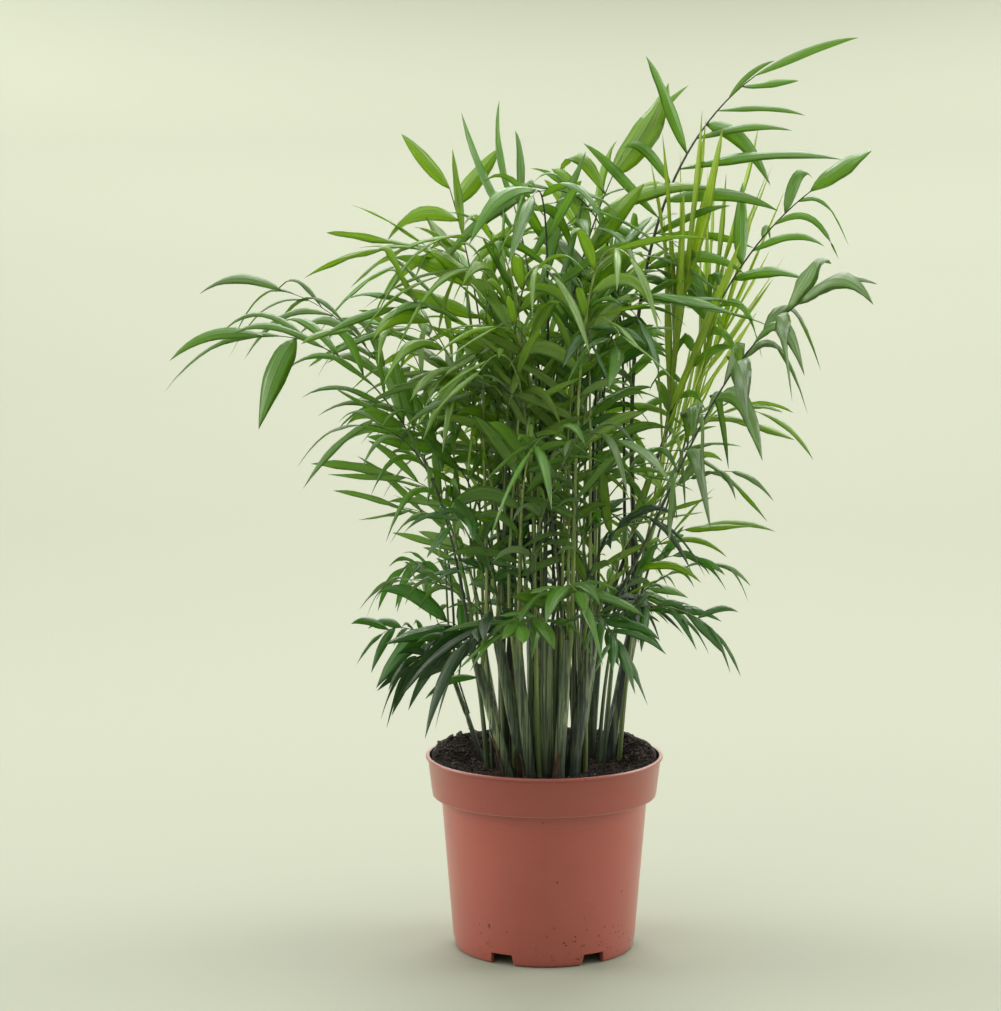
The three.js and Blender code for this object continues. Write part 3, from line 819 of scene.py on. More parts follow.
def scatterTree():
    # rounded bits of many sizes that lie at any angle
    tree = growthTree("scatteredBits", Density=1000.0, Smallest=0.001, Largest=0.002, Flatness=0.7, Seed=1)
    size = tree.drawn("FLOAT", tree.given["Smallest"], tree.given["Largest"])
    tall = size * tree.given["Flatness"]
    shape = tree.shade("CombineXYZ", size, tall, tall)[0]
    bit = tree.geo("MeshIcoSphere", Radius=1.0, Subdivisions=1)["Mesh"]
    strewn = tree.scatter(bit, (0.0, 0.0, 0.0), (math.tau,) * 3, Scale=shape)
    push = tree.grain(scatterPlan["wear"], output="Color") - 0.5
    return tree.finish(tree.move(strewn, Offset=push * tree.given["Smallest"]))


def fibreTree():
    # thin bent fibres that lie nearly flat
    plan = scatterPlan
    tilt = plan["fibreTilt"]
    tree = growthTree("looseFibres", Density=4000.0, Length=0.014, Thickness=0.00018, Bend=0.006, Seed=5)
    end = tree.shade("CombineXYZ", tree.given["Length"])[0]
    line = tree.geo("MeshLine", Count=plan["fibrePoints"], Offset=end, mode="END_POINTS")["Mesh"]
    strewn = tree.scatter(line, (-tilt, -tilt, 0.0), (tilt, tilt, math.tau))
    wave = (tree.grain(plan["fibreWave"], output="Color") - plan["fibreMiddle"]) * plan["fibreStrength"]
    curve = tree.geo("MeshToCurve", tree.move(strewn, Offset=wave * tree.given["Bend"]))["Curve"]
    ring = tree.geo("CurvePrimitiveCircle", Resolution=4, Radius=tree.given["Thickness"])["Curve"]
    return tree.finish(tree.tube(curve, ring))


def topOfSoil(soil, reach):
    # only the open surface out to a radius, for the bits that lie on it
    surface = bmesh.new()
    surface.from_mesh(soil.data)
    low = (soilPlan["edgeLevel"] - soilPlan["surfaceDepth"]) * mm
    middles = [(face, face.calc_center_median()) for face in surface.faces]
    buried = [face for face, spot in middles if spot.z < low or spot.xy.length > reach * mm]
    bmesh.ops.delete(surface, geom=buried, context="FACES")
    return meshFrom("soilSurface", surface, smoothed=False)


def makeChunks(material):
    # larger bits of bark that stand out of the soil, some of them against the rim
    chunks = bmesh.new()
    for number, (x, y, height, length, width, turn, tilt) in enumerate(chunkPlan["rows"]):
        along = leaning(turn, 90 - tilt)
        side = unit(np.cross(up, along))
        out = np.cross(along, side)
        half = np.array((length, width, width * chunkPlan["flatness"])) / 2
        for vertex in bmesh.ops.create_icosphere(chunks, subdivisions=3, radius=1.0)["verts"]:
            spot = Vector(vertex.co)
            size = 1
            for (depth, scale), start in ((chunkPlan["bumps"], (number * 3, 0, 0)),
                                          (chunkPlan["edges"], (0, number * 5, 0))):
                size *= 1 + depth * noise.noise(spot * scale + Vector(start))
            local = np.array(spot) * size * half
            vertex.co = (np.array((x, y, height)) + along * local[0] + side * local[1] + out * local[2]) * mm
    piece = addObject("barkChunks", meshFrom("barkChunks", chunks, smoothed=False))
    dress(piece, [], material)


def makeSoil():
    looks = {name: makeSoilMaterial(name, *look) for name, look in soilPlan["looks"].items()}
    soil = addObject("soilBed", lathe("soilBed", soilOutline(), soilPlan["sides"], shape=lieOnTop))
    dress(soil, ["soil"], looks["dampPeat"])
    tree = scatterTree()
    for name, (look, values) in scatterPlan["bits"].items():
        bits = runTree(name, topOfSoil(soil, scatterPlan["reach"]), tree, Material=looks[look], **values)
        dress(bits, [])
        print(" ", name, len(bits.data.polygons))
    surface = topOfSoil(soil, scatterPlan["fibreReach"])
    fibres = runTree("soilFibres", surface, fibreTree(), Material=looks["fibre"])
    fibres.data.shade_smooth()
    dress(fibres, [])
    makeChunks(looks["bark"])


makeSoil()
print("soil")


# The growth rule, the same as that of the solids

stemPlan = {
    "clearance": 0.3, "flare": 1.18, "flareHeight": 9, "topTaper": 0.86,
    # x and y at the soil, height, lean, heading, radius, and the sizes of the plain fronds
    "rows": [
        (-25, -33, 80, 16, 182, 4.0, "tm"), (-14.5, -25, 96, 11, 176, 4.2, "tl"),
        (-11, -38.5, 100, 6, 200, 4.2, "tml"), (1, -29, 104, 2, 270, 4.4, "tml"),
        (9, -40.5, 98, 5, 320, 4.2, "tmml"), (19, -31, 108, 8, 352, 4.6, "tm"),
        (22, -16, 90, 9, 25, 3.6, "tml"), (-4, -14, 96, 5, 100, 4.2, "mml"),
        (33, 30, 96, 5, 40, 4.0, "tml"), (46, 24, 106, 11, 8, 4.6, "tmml"),
        (27, 44, 92, 8, 75, 3.8, "tmml"), (-44, 16, 62, 20, 165, 3.2, "ml"),
        (-30, 29, 84, 13, 140, 3.6, "mml"), (-6, 50, 86, 9, 100, 3.8, "ttmml"),
    ],
}
frondPlan = {
    "sizes": {
        "t": dict(height=(470, 545), reach=(45, 95), lean=(3, 9), dip=(5, 45), blade=180, leaf=88, pairs=5),
        "m": dict(
            height=(350, 455), reach=(62, 112), lean=(4, 14), dip=(10, 45), blade=150, leaf=72, pairs=5),
        "l": dict(height=(240, 335), reach=(50, 84), lean=(6, 26), dip=(20, 55), blade=105, leaf=50, pairs=4),
    },
    "goldenAngle": 137.5, "headingSpread": 40, "largestRoll": 30, "leafSpread": (0.9, 1.1), "plainSeed": 3000,
    "petioleSpacing": 2.3, "petioleSteps": 3, "rootLength": 4, "slotAngle": 120, "longestBlade": 0.8,
    "ribGap": 3.4, "stemGap": 2.1, "settleLeans": (0, 3, -3, 6, -6),
    "settleTurns": (0, 5, -5, 10, -10, 15, -15, 20, -20, 30, -30, 45, -45),
    # stem, heading, reach, height, lean, dip, roll, length of the blade, of its leaflets, pairs
    "keys": [
        (10, 14, 84, 622, -4, -35, 62, 200, 92, 5), (9, 348, 150, 541, 24, -38, 48, 190, 84, 5),
        (6, 332, 158, 474, 37, -30, 25, 180, 80, 5), (8, 35, 76, 566, 3, -58, 35, 190, 94, 5),
        (8, 115, 36, 530, -6, -56, 0, 180, 92, 4), (13, 160, 26, 542, -7, -72, -50, 190, 90, 5),
        (4, 190, 74, 484, 4, 30, -20, 200, 82, 5), (2, 200, 62, 470, -8, -50, -45, 180, 84, 5),
        (1, 170, 150, 440, 0, 5, -40, 200, 84, 5), (12, 160, 132, 468, -5, -12, -40, 180, 80, 5),
        (1, 205, 88, 384, 14, 0, -30, 140, 64, 4), (2, 215, 78, 318, -8, 25, -10, 130, 56, 4),
        (12, 186, 44, 262, 10, 30, 0, 90, 46, 4), (1, 204, 52, 214, 0, 40, 0, 92, 56, 4),
        (5, 232, 66, 246, 4, 24, 0, 112, 60, 4), (6, 330, 92, 242, 42, 42, 0, 100, 54, 4),
        (9, 5, 86, 270, 52, 15, 20, 100, 46, 4), (7, 345, 98, 348, 4, 5, 20, 120, 50, 4),
        (11, 75, 40, 520, 6, -68, 0, 220, 105, 5), (3, 280, 58, 372, 0, -10, 0, 120, 78, 4),
        (3, 240, 62, 238, 10, 30, 0, 100, 58, 4), (4, 290, 66, 270, 6, 30, 0, 110, 60, 4),
        (2, 190, 76, 268, 6, 26, 0, 110, 60, 4), (6, 285, 60, 236, 14, 26, 0, 100, 56, 4),
        (7, 25, 74, 278, 14, 26, 0, 110, 58, 4), (12, 215, 60, 230, 4, 30, 0, 100, 54, 4),
        (13, 140, 72, 262, 10, 30, 0, 105, 56, 4),
    ],
}
shootPlan = {
    "count": 19, "centre": (0, -12), "spread": (30, 26), "turn": 137.5, "headingSpread": 70, "sunk": 2,
    "height": (345, 490), "lean": (1, 7), "reach": (30, 92), "dip": (0, 45), "roll": (-35, 35),
    "blade": (90, 165), "leaf": (62, 80), "pairs": 5, "seed": 900, "seedStep": 11,
    "firstNumber": 200, "firstSideNumber": 300,
    # more of them towards both sides, one by one: x and y at the soil, heading, reach, height,
    # lean, dip, roll, length of the blade, of its leaflets, pairs
    "side": [
        (54, 16, 12, 44, 468, 3, -86, 10, 110, 128, 4), (48, 26, 22, 80, 462, 4, -84, -30, 110, 122, 4),
        (50, 36, 4, 70, 424, 5, -64, -15, 120, 104, 4), (-26, -6, 182, 82, 502, 2, 8, -20, 170, 80, 5),
        (-20, 8, 160, 110, 440, 4, 20, -20, 150, 80, 5), (38, 4, 356, 72, 304, 4, -5, 40, 110, 68, 5),
        (42, 12, 20, 98, 376, 6, 25, 40, 130, 68, 5), (-30, -16, 186, 70, 380, 3, -20, -50, 90, 76, 5),
        (-36, -2, 178, 66, 318, 4, -5, 50, 80, 72, 5), (-40, -8, 196, 40, 236, 6, 30, -60, 60, 78, 3),
        (-28, -22, 180, 78, 344, 2, -10, 40, 90, 72, 5), (28, -18, 335, 46, 316, 4, -10, -40, 100, 66, 5),
        (-24, 6, 172, 86, 500, 3, 15, 35, 130, 72, 5), (-28, -14, 197, 80, 462, 4, 15, -35, 130, 72, 5),
    ],
}


def makeStems():
    stems = []
    for number, (x, y, height, lean, heading, radius, sizes) in enumerate(stemPlan["rows"]):
        axis = leaning(heading, lean)
        foot = np.array((x, y, soilPlan["level"] + stemPlan["clearance"])) * mm
        stems.append({
            "number": number, "foot": foot, "axis": axis, "height": height * mm, "radius": radius * mm,
            "sizes": sizes, "top": foot + axis * height * mm, "fronds": [], "feet": [],
        })
    return stems


def frondFrom(heading, reach, height, lean, dip, roll, blade, leaf, pairs, **others):
    return {
        "heading": heading, "reach": reach * mm, "height": height * mm, "lean": lean, "dip": dip,
        "roll": roll, "blade": blade * mm, "leaf": leaf * mm, "pairs": pairs, **others,
    }


def plainFrond(stem, sizeName, order):
    size = frondPlan["sizes"][sizeName]
    seed = 7 * order + frondPlan["plainSeed"]
    roll = frondPlan["largestRoll"]

    def pick(span, n):
        return mix(*span, jitter(seed + n))

    turn = frondPlan["goldenAngle"] * order + frondPlan["headingSpread"] * swing(seed)
    return frondFrom(
        (turn + 360) % 360, pick(size["reach"], 2), pick(size["height"], 1), pick(size["lean"], 3),
        pick(size["dip"], 4), pick((-roll, roll), 6), size["blade"],
        size["leaf"] * pick(frondPlan["leafSpread"], 5), size["pairs"], stem=stem, size=sizeName)


def ribHandles(frond):
    foot, heading = frond["foot"], frond["heading"]
    tip = flatDirection(heading) * frond["reach"] + foot
    tip[2] = frond["height"]
    handle = np.linalg.norm(tip - foot) / 3
    leave, arrive = leaning(heading, frond["lean"]), leaning(heading, 90 + frond["dip"])
    return np.array((foot, foot + leave * handle, tip - arrive * handle, tip))


def bezier(handles, t):
    t = np.atleast_1d(t)[:, None]
    a, b, c, d = handles
    return a * (1 - t) ** 3 + 3 * b * t * (1 - t) ** 2 + 3 * c * t * t * (1 - t) + d * t ** 3


def bezierSlope(handles, t):
    t = np.atleast_1d(t)[:, None]
    a, b, c, d = handles
    slope = (b - a) * (1 - t) ** 2 + 2 * (c - b) * t * (1 - t) + (d - c) * t * t
    return slope / np.linalg.norm(slope, axis=1)[:, None]


def measure(frond):
    # the rib's curve, the way run along it and how much of it is blade
    frond["handles"] = ribHandles(frond)
    t = np.linspace(0, 1, 201)
    strides = np.linalg.norm(np.diff(bezier(frond["handles"], t), axis=0), axis=1)
    run = np.concatenate(([0], np.cumsum(strides)))
    frond["table"], frond["length"] = (t, run), run[-1]
    frond["bladeShare"] = min(frond["blade"] / run[-1], frondPlan["longestBlade"])


def placeOnRib(frond, share):
    t, run = frond["table"]
    return np.interp(share * run[-1], run, t)


def ribPoints(frond):
    # the corners of the rib as it is in the solids
    measure(frond)
    bladeShare, steps = frond["bladeShare"], frondPlan["petioleSteps"]
    shares = [(1 - bladeShare) * i / steps for i in range(steps)]
    for i in range(frond["pairs"]):
        start = 1 - bladeShare * (1 - i / frond["pairs"])
        shares += [start, start + frondPlan["rootLength"] * mm / frond["length"]]
    return bezier(frond["handles"], placeOnRib(frond, np.array(shares + [1.0])))


def lineDistance(a, b):
    # least distance between two rows of straight stretches
    def dot(u, v):
        return (u * v).sum(-1)

    firstA, firstB = a[:-1][:, None], b[:-1][None]
    wayA, wayB = a[1:][:, None] - firstA, b[1:][None] - firstB
    between = firstA - firstB
    lengthA, lengthB, shared = dot(wayA, wayA), dot(wayB, wayB), dot(wayA, wayB)
    fromA, fromB = dot(wayA, between), dot(wayB, between)
    spread = lengthA * lengthB - shared * shared
    divisor = np.where(spread != 0, spread, 1)
    s = np.clip(np.where(spread != 0, (shared * fromB - fromA * lengthB) / divisor, 0), 0, 1)
    t = (shared * s + fromB) / lengthB
    atEnd = np.clip((shared - fromA) / lengthA, 0, 1)
    s = np.where(t < 0, np.clip(-fromA / lengthA, 0, 1), np.where(t > 1, atEnd, s))
    gap = between + s[..., None] * wayA - np.clip(t, 0, 1)[..., None] * wayB
    return np.sqrt(dot(gap, gap)).min()


def isClear(frond, standing, stems):
    for other in standing:
        if other["node"] != frond["node"]:
            if lineDistance(frond["points"], other["points"]) < frondPlan["ribGap"] * mm:
                return False
    for stem in stems:
        room = stem["radius"] + frondPlan["stemGap"] * mm
        line = np.array((stem["foot"], stem["top"]))
        if stem is not frond["stem"] and lineDistance(frond["points"], line) < room:
            return False
    return True


def settleFrond(frond, standing, stems):
    # turns and leans a frond until its rib is clear of those that stand
    heading, lean = frond["heading"], frond["lean"]
    for more in frondPlan["settleLeans"]:
        for turn in frondPlan["settleTurns"]:
            frond["heading"], frond["lean"] = heading + turn, lean + more
            frond["points"] = ribPoints(frond)
            if isClear(frond, standing, stems):
                standing.append(frond)
                return
    raise RuntimeError("frond %d finds no room" % frond["number"])


def shareNodes(stem, first):
    # the fronds of a stem share three nodes, whose feet stand evenly round its top
    ordered = sorted(stem["fronds"], key=lambda frond: frond["heading"])
    splits = (0, 1, 3, 5) if len(ordered) > 4 else (0, 1, 2, 4)
    for slot in range(3):
        turn = ordered[0]["heading"] + frondPlan["slotAngle"] * slot
        away = flatDirection(turn)
        foot = away * frondPlan["petioleSpacing"] * mm + stem["top"] + up * stemPlan["clearance"] * mm
        stem["feet"].append(turn)
        for frond in ordered[splits[slot]:splits[slot + 1]]:
            frond["foot"], frond["node"], frond["away"] = foot, first + slot, away


def growPlant():
    stems = makeStems()
    fronds = [frondFrom(*row[1:], stem=stems[row[0] - 1], size="key") for row in frondPlan["keys"]]
    order = 0
    for stem in stems:
        for size in stem["sizes"]:
            fronds.append(plainFrond(stem, size, order))
            order += 1
    for number, frond in enumerate(fronds):
        frond["number"] = number
        frond["stem"]["fronds"].append(frond)
    for stem in stems:
        shareNodes(stem, 3 * stem["number"] + 1)
    standing = []
    for frond in fronds:
        settleFrond(frond, standing, stems)
    return stems, fronds


def makeShoots():
    # slender seedlings between the stems, each with one frond that rises from the soil
    plan = shootPlan
    shoots = []

    def addShoot(number, x, y, *row):
        foot = np.array((x, y, soilPlan["level"] - plan["sunk"])) * mm
        shoots.append(frondFrom(*row, stem=None, size="shoot", number=number, foot=foot))
        measure(shoots[-1])

    for order in range(plan["count"]):
        seed = plan["seed"] + plan["seedStep"] * order
        away = math.sqrt((order + 0.5) / plan["count"])
        out = flatDirection(plan["turn"] * order)
        x, y = (plan["centre"][i] + plan["spread"][i] * away * out[i] for i in (0, 1))
        tall = ((order * 7) % plan["count"] + jitter(seed)) / plan["count"]
        heading = plan["turn"] * order + plan["headingSpread"] * swing(seed + 1)
        reach, lean, dip, roll = (
            mix(*plan[name], jitter(seed + n)) for n, name in enumerate(("reach", "lean", "dip", "roll"), 2))
        addShoot(plan["firstNumber"] + order, x, y, heading, reach,
                 mix(*plan["height"], tall), lean, dip, roll, mix(*plan["blade"], tall),
                 mix(*plan["leaf"], tall), plan["pairs"])
    for order, row in enumerate(plan["side"]):
        addShoot(plan["firstSideNumber"] + order, *row)
    return shoots


def ribFrame(frond, share):
    # along the rib, to the blade's left, and out of its face
    along = bezierSlope(frond["handles"], placeOnRib(frond, share))[0]
    level = flatDirection(frond["heading"] + 90)
    return along, *turned(level, np.cross(along, level), frond["roll"])


stems, fronds = growPlant()
shoots = makeShoots()
print("growth rule:", len(stems), "stems,", len(fronds), "fronds,", len(shoots), "slender shoots")


# Stems

sheathPlan = {
    "around": 44, "along": 40, "below": 5, "above": 3, "hollow": 2.5, "openFrom": 0.5,
    "lobe": 0.34, "waist": 0.30,
    "edges": 3, "edge": 0.6, "edgeTurn": 137, "edgeRise": 34, "edgeTop": (0.55, 1.05), "edgeFade": 8,
    "edgeWander": 10, "edgeWaves": 4, "ridges": 15, "ridge": 0.09, "ridgeWander": 2.5, "ridgeWaves": 5,
    "darkStems": (5, 9, 7, 10),
    "slimness": {11: 0.38, 12: 0.8, 0: 0.85, 2: 0.85, 4: 0.9},  # the lone stem at the left stays thin
}
scalePlan = {
    "count": 12, "stems": 7, "steps": 8, "columns": 6, "span": (40, 90), "height": (10, 34), "sunk": 2,
    "inner": 0.35, "outer": 0.6, "narrowing": 0.9, "narrowCurve": 1.6, "lean": 12, "spring": 1.6, "seed": 500,
}
barkPlan = {  # the streaked skin of stems and petioles
    "marks": {
        "broad": ("streaks", dict(Width=400.0, Stretch=0.016, Sharpness=3.6)),
        "fine": ("streaks", dict(Width=1200.0, Stretch=0.012, Sharpness=2.4, Offset=4.0)),
        "thin": ("streaks", dict(Width=700.0, Stretch=0.007, Sharpness=9.0, Offset=9.0)),
        "blotch": ("mottle", dict(Scale=45.0, Contrast=2.4, Stretch=(1.0, 1.0, 0.5))),
    },
    # the foot's darker tone is painted shade
    "lineShare": 0.8, "fineShare": 0.35, "footShade": 0.85, "footTint": 0.5,
    "roughness": (0.32, 0.52), "relief": (0.5, 0.0006),
    "looks": {  # dark, pale, yellow, share of the pale, height of the foot's painted shade
        "stemGreyGreen": (srgb(44, 56, 48), srgb(92, 114, 88), srgb(190, 204, 148), 0.6, 34),
        "stemDark": (srgb(36, 44, 46), srgb(78, 94, 84), srgb(168, 180, 136), 0.5, 34),
        "drySheath": (srgb(70, 50, 38), srgb(120, 94, 68), srgb(150, 124, 90), 0.7, 34),
        "petiolePale": (srgb(98, 118, 62), srgb(146, 164, 88), srgb(190, 198, 120), 0.6, 110),
        "petioleGreen": (srgb(58, 78, 50), srgb(94, 118, 72), srgb(150, 162, 92), 0.55, 90),
        "petioleDark": (srgb(30, 38, 34), srgb(62, 78, 60), srgb(104, 116, 76), 0.5, 60),
    },
}


def stemRadius(stem, rise, heading):
    # rise is the height along the stem and heading the way round it, in degrees
    plan = sheathPlan
    share = rise / stem["height"]
    slimness = plan["slimness"].get(stem["number"], 1.0)
    radius = stem["radius"] * slimness * mix(1.0, stemPlan["topTaper"], max(share, 0))
    radius *= 1 + (stemPlan["flare"] - 1) * (1 - smooth(rise / (stemPlan["flareHeight"] * mm)))
    opening = smooth((share - plan["openFrom"]) / (1 - plan["openFrom"]))
    nearest = max(math.cos(math.radians(heading - foot)) for foot in stem["feet"])
    radius *= 1 - plan["waist"] * opening + plan["lobe"] * opening * smooth(nearest)
    for number in range(plan["edges"]):
        seed = stem["number"] * 13 + number
        top = stem["height"] * mix(*plan["edgeTop"], jitter(seed + 0.5))
        wander = plan["edgeRise"] * share + plan["edgeWander"] * math.sin(share * plan["edgeWaves"] + seed)
        start = 360 * jitter(seed) + plan["edgeTurn"] * number + wander
        past = ((heading - start) % 360) / 360
        fade = 1 - smooth((rise - top) / (plan["edgeFade"] * mm))
        radius += plan["edge"] * mm * (1 - past) ** 3 * fade
    wander = plan["ridgeWander"] * math.sin(share * plan["ridgeWaves"] + stem["number"])
    return radius + plan["ridge"] * mm * math.cos(math.radians(plan["ridges"] * heading) + wander)


def besideStem(shape, stem, rise, heading=0, away=0):
    return shape.verts.new(stem["foot"] + stem["axis"] * rise + flatDirection(heading) * away)


def sheathMesh(name, chosen):
    # sheathed stems: rings of their own outline up the leaning axis, closed at both ends
    plan = sheathPlan
    sheaths = bmesh.new()
    for stem in chosen:
        low, high = -plan["below"] * mm, stem["height"] + plan["above"] * mm
        rings = [[besideStem(sheaths, stem, low)]]
        for step in range(plan["along"] + 1):
            rise = mix(low, high, step / plan["along"])
            headings = [360 * side / plan["around"] for side in range(plan["around"])]
            rings.append([besideStem(sheaths, stem, rise, heading, stemRadius(stem, rise, heading))
                          for heading in headings])
        rings.append([besideStem(sheaths, stem, high - plan["hollow"] * mm)])
        skin(sheaths, rings)
    return meshFrom(name, sheaths)


def scaleMesh(name):
    # thin dry sheaths that hug the feet of the stems, each a curved strip with a torn point
    plan = scalePlan
    scales = bmesh.new()
    steps, columns = plan["steps"], plan["columns"]
    # each ring goes out along the outer skin and back along the inner one
    path = [(column, plan["outer"]) for column in range(columns + 1)]
    path += [(column, plan["inner"]) for column, lift in reversed(path)]
    for number in range(plan["count"]):
        stem = stems[number % plan["stems"]]
        seed = plan["seed"] + number * 3
        start = 360 * jitter(seed)
        span, tall = mix(*plan["span"], jitter(seed + 1)), mix(*plan["height"], jitter(seed + 2)) * mm
        rings = []
        for step in range(steps + 1):
            share = step / steps
            rise = mix(-plan["sunk"] * mm, tall, share)
            width = span * (1 - plan["narrowing"] * share ** plan["narrowCurve"])
            ring = []
            for column, lift in path:
                heading = start + width * (column / columns - 0.5) + plan["lean"] * share
                away = stemRadius(stem, rise, heading) + (lift + plan["spring"] * share ** 3) * mm
                ring.append(besideStem(scales, stem, rise, heading, away))
            rings.append(ring)
        skin(scales, rings)
        for ring in (rings[0], rings[-1]):
            for column in range(columns):
                scales.faces.new([ring[column], ring[column + 1], ring[-2 - column], ring[-1 - column]])
    bmesh.ops.recalc_face_normals(scales, faces=scales.faces)
    return meshFrom(name, scales)


def makeStemMaterial(name):
    plan = barkPlan
    dark, pale, yellow, share, shadedFootHeight = plan["looks"][name]
    tree = newMaterial(name, Specular_IOR_Level=0.5)
    marks = tree.marks(plan["marks"])
    level = soilPlan["level"] * mm
    marks["lines"] = marks["blotch"] * marks["thin"]
    # darker towards the soil: painted shade at the feet, where stems and petioles crowd together
    marks["foot"] = tree.place().parts()[2].spread(level, level + shadedFootHeight * mm, plan["footShade"], 0.0)
    colour = tree.layers(dark, marks, (
        ("broad", share, pale), ("lines", plan["lineShare"], yellow), ("fine", plan["fineShare"], dark),
        ("foot", 1.0, tinted(dark, plan["footTint"]))))
    height = marks["broad Height"] + marks["fine Height"]
    return finishMaterial(tree, colour, (marks["fine"], *plan["roughness"]), (height, *plan["relief"]))


def makeStemPieces():
    dark = sheathPlan["darkStems"]
    plain = [number for number in range(len(stems)) if number not in dark]
    for name, numbers, look in (("sheathedStems", plain, "stemGreyGreen"), ("darkStems", dark, "stemDark")):
        piece = addObject(name, sheathMesh(name, [stems[number] for number in numbers]))
        nodes = ["stem_%02d" % (number + 1) for number in numbers]
        dress(piece, nodes, makeStemMaterial(look))
    dress(addObject("drySheaths", scaleMesh("drySheaths")), [], makeStemMaterial("drySheath"))


makeStemPieces()
print("stems")


# Petioles and ribs

ribPlan = {
    "steps": 44, "sunk": 26, "footRadius": 1.75, "bladeRadius": 1.15, "tipRadius": 0.42, "aside": 1.6,
    "bend": 0.55, "shootRadius": 2.9, "shootTopRadius": 1.9, "shootSunk": 6, "sheathHeight": 105,
    "sides": 10, "groove": 0.55, "grooveStart": 0.35, "grooveDepth": -1.7, "slender": 0.8, "stoutLeaf": 60,
    "stout": {0: 1.5, 1: 1.4, 9: 0.7, 12: 0.7, 25: 0.7, 60: 0.7, 61: 0.7},
    "looks": {"paleRibs": "petiolePale", "greenRibs": "petioleGreen", "darkRibs": "petioleDark"},
    "darkFronds": (0, 1, 3), "seed": 77,
}


def frondNodes(chosen):
    return ["frond_%02d" % node for node in sorted({frond["node"] for frond in chosen if "node" in frond})]


def ribRadius(frond, share):
    plan = ribPlan
    bladeStart = 1 - frond["bladeShare"]
    sheathed = share * frond["length"] / (plan["sheathHeight"] * mm)
    if not frond["stem"] and sheathed < 1:
        return mix(plan["shootRadius"], plan["shootTopRadius"], smooth(sheathed))
    if share < bladeStart:
        return mix(plan["footRadius"], plan["bladeRadius"], smooth(share / bladeStart))
    return mix(plan["bladeRadius"], plan["tipRadius"], (share - bladeStart) / (1 - bladeStart))


def ribSource(name, chosen):
    # one row of joined points for each frond, from inside its stem to the tip
    plan = ribPlan
    points, edges, thick, level = [], [], [], []
    for frond in chosen:
        stem, foot = frond["stem"], frond["foot"]
        if stem:
            inside = stem["top"] - stem["axis"] * plan["sunk"] * mm + frond["away"] * plan["aside"] * mm
            row, radii = [inside, mix(inside, foot, plan["bend"])], [plan["footRadius"]] * 2
        else:
            row, radii = [foot - up * plan["shootSunk"] * mm], [plan["shootRadius"]]
        for step in range(plan["steps"] + 1):
            share = step / plan["steps"]
            row.append(bezier(frond["handles"], placeOnRib(frond, share))[0])
            radii.append(ribRadius(frond, share))
        first = len(points)
        points += row
        edges += [(first + i, first + i + 1) for i in range(len(row) - 1)]
        isStout = frond["size"] in ("key", "t") and frond["leaf"] > plan["stoutLeaf"] * mm
        slender = (1.0 if isStout else plan["slender"]) * plan["stout"].get(frond["number"], 1.0)
        thick += [radius * slender * mm for radius in radii]
        level += [flatDirection(frond["heading"] + 90)] * len(row)
    return pointMesh(name + "Rows", points, edges, thick=thick, level=level)


def ribTree():
    # round tubes with a groove along their upper side
    tree = growthTree("groovedRibs", Sides=10, Groove=0.5)
    curve = tree.geo("MeshToCurve", tree.given["Geometry"])["Curve"]
    upright = tree.geo("SetCurveNormal", Curve=curve, Normal=tree.named("level", "FLOAT_VECTOR"), mode="FREE")
    ring = tree.geo("CurvePrimitiveCircle", Resolution=tree.given["Sides"], Radius=1.0)["Curve"]
    high = (tree.position().parts()[1] - ribPlan["grooveStart"]).step("MAXIMUM", 0.0)
    drop = tree.shade("CombineXYZ", Y=high * ribPlan["grooveDepth"] * tree.given["Groove"])[0]
    tube = tree.tube(upright["Curve"], tree.move(ring, Offset=drop), Scale=tree.named("thick"))
    return tree.finish(tree.geo("SetShadeSmooth", tube)["Geometry"])


def ribKind(frond):
    if frond["number"] in ribPlan["darkFronds"]:
        return 2
    return min(2, int(jitter(frond["number"] * 5 + ribPlan["seed"]) * 3))


def makeRibs():
    tree = ribTree()
    for kind, (name, look) in enumerate(ribPlan["looks"].items()):
        chosen = [frond for frond in fronds + shoots if ribKind(frond) == kind]
        piece = runTree(name, ribSource(name, chosen), tree, Sides=ribPlan["sides"],
                        Groove=ribPlan["groove"], Material=makeStemMaterial(look))
        dress(piece, frondNodes(chosen))
        print(" ", name, len(piece.data.polygons))


makeRibs()
print("petioles and ribs")


# Leaflets

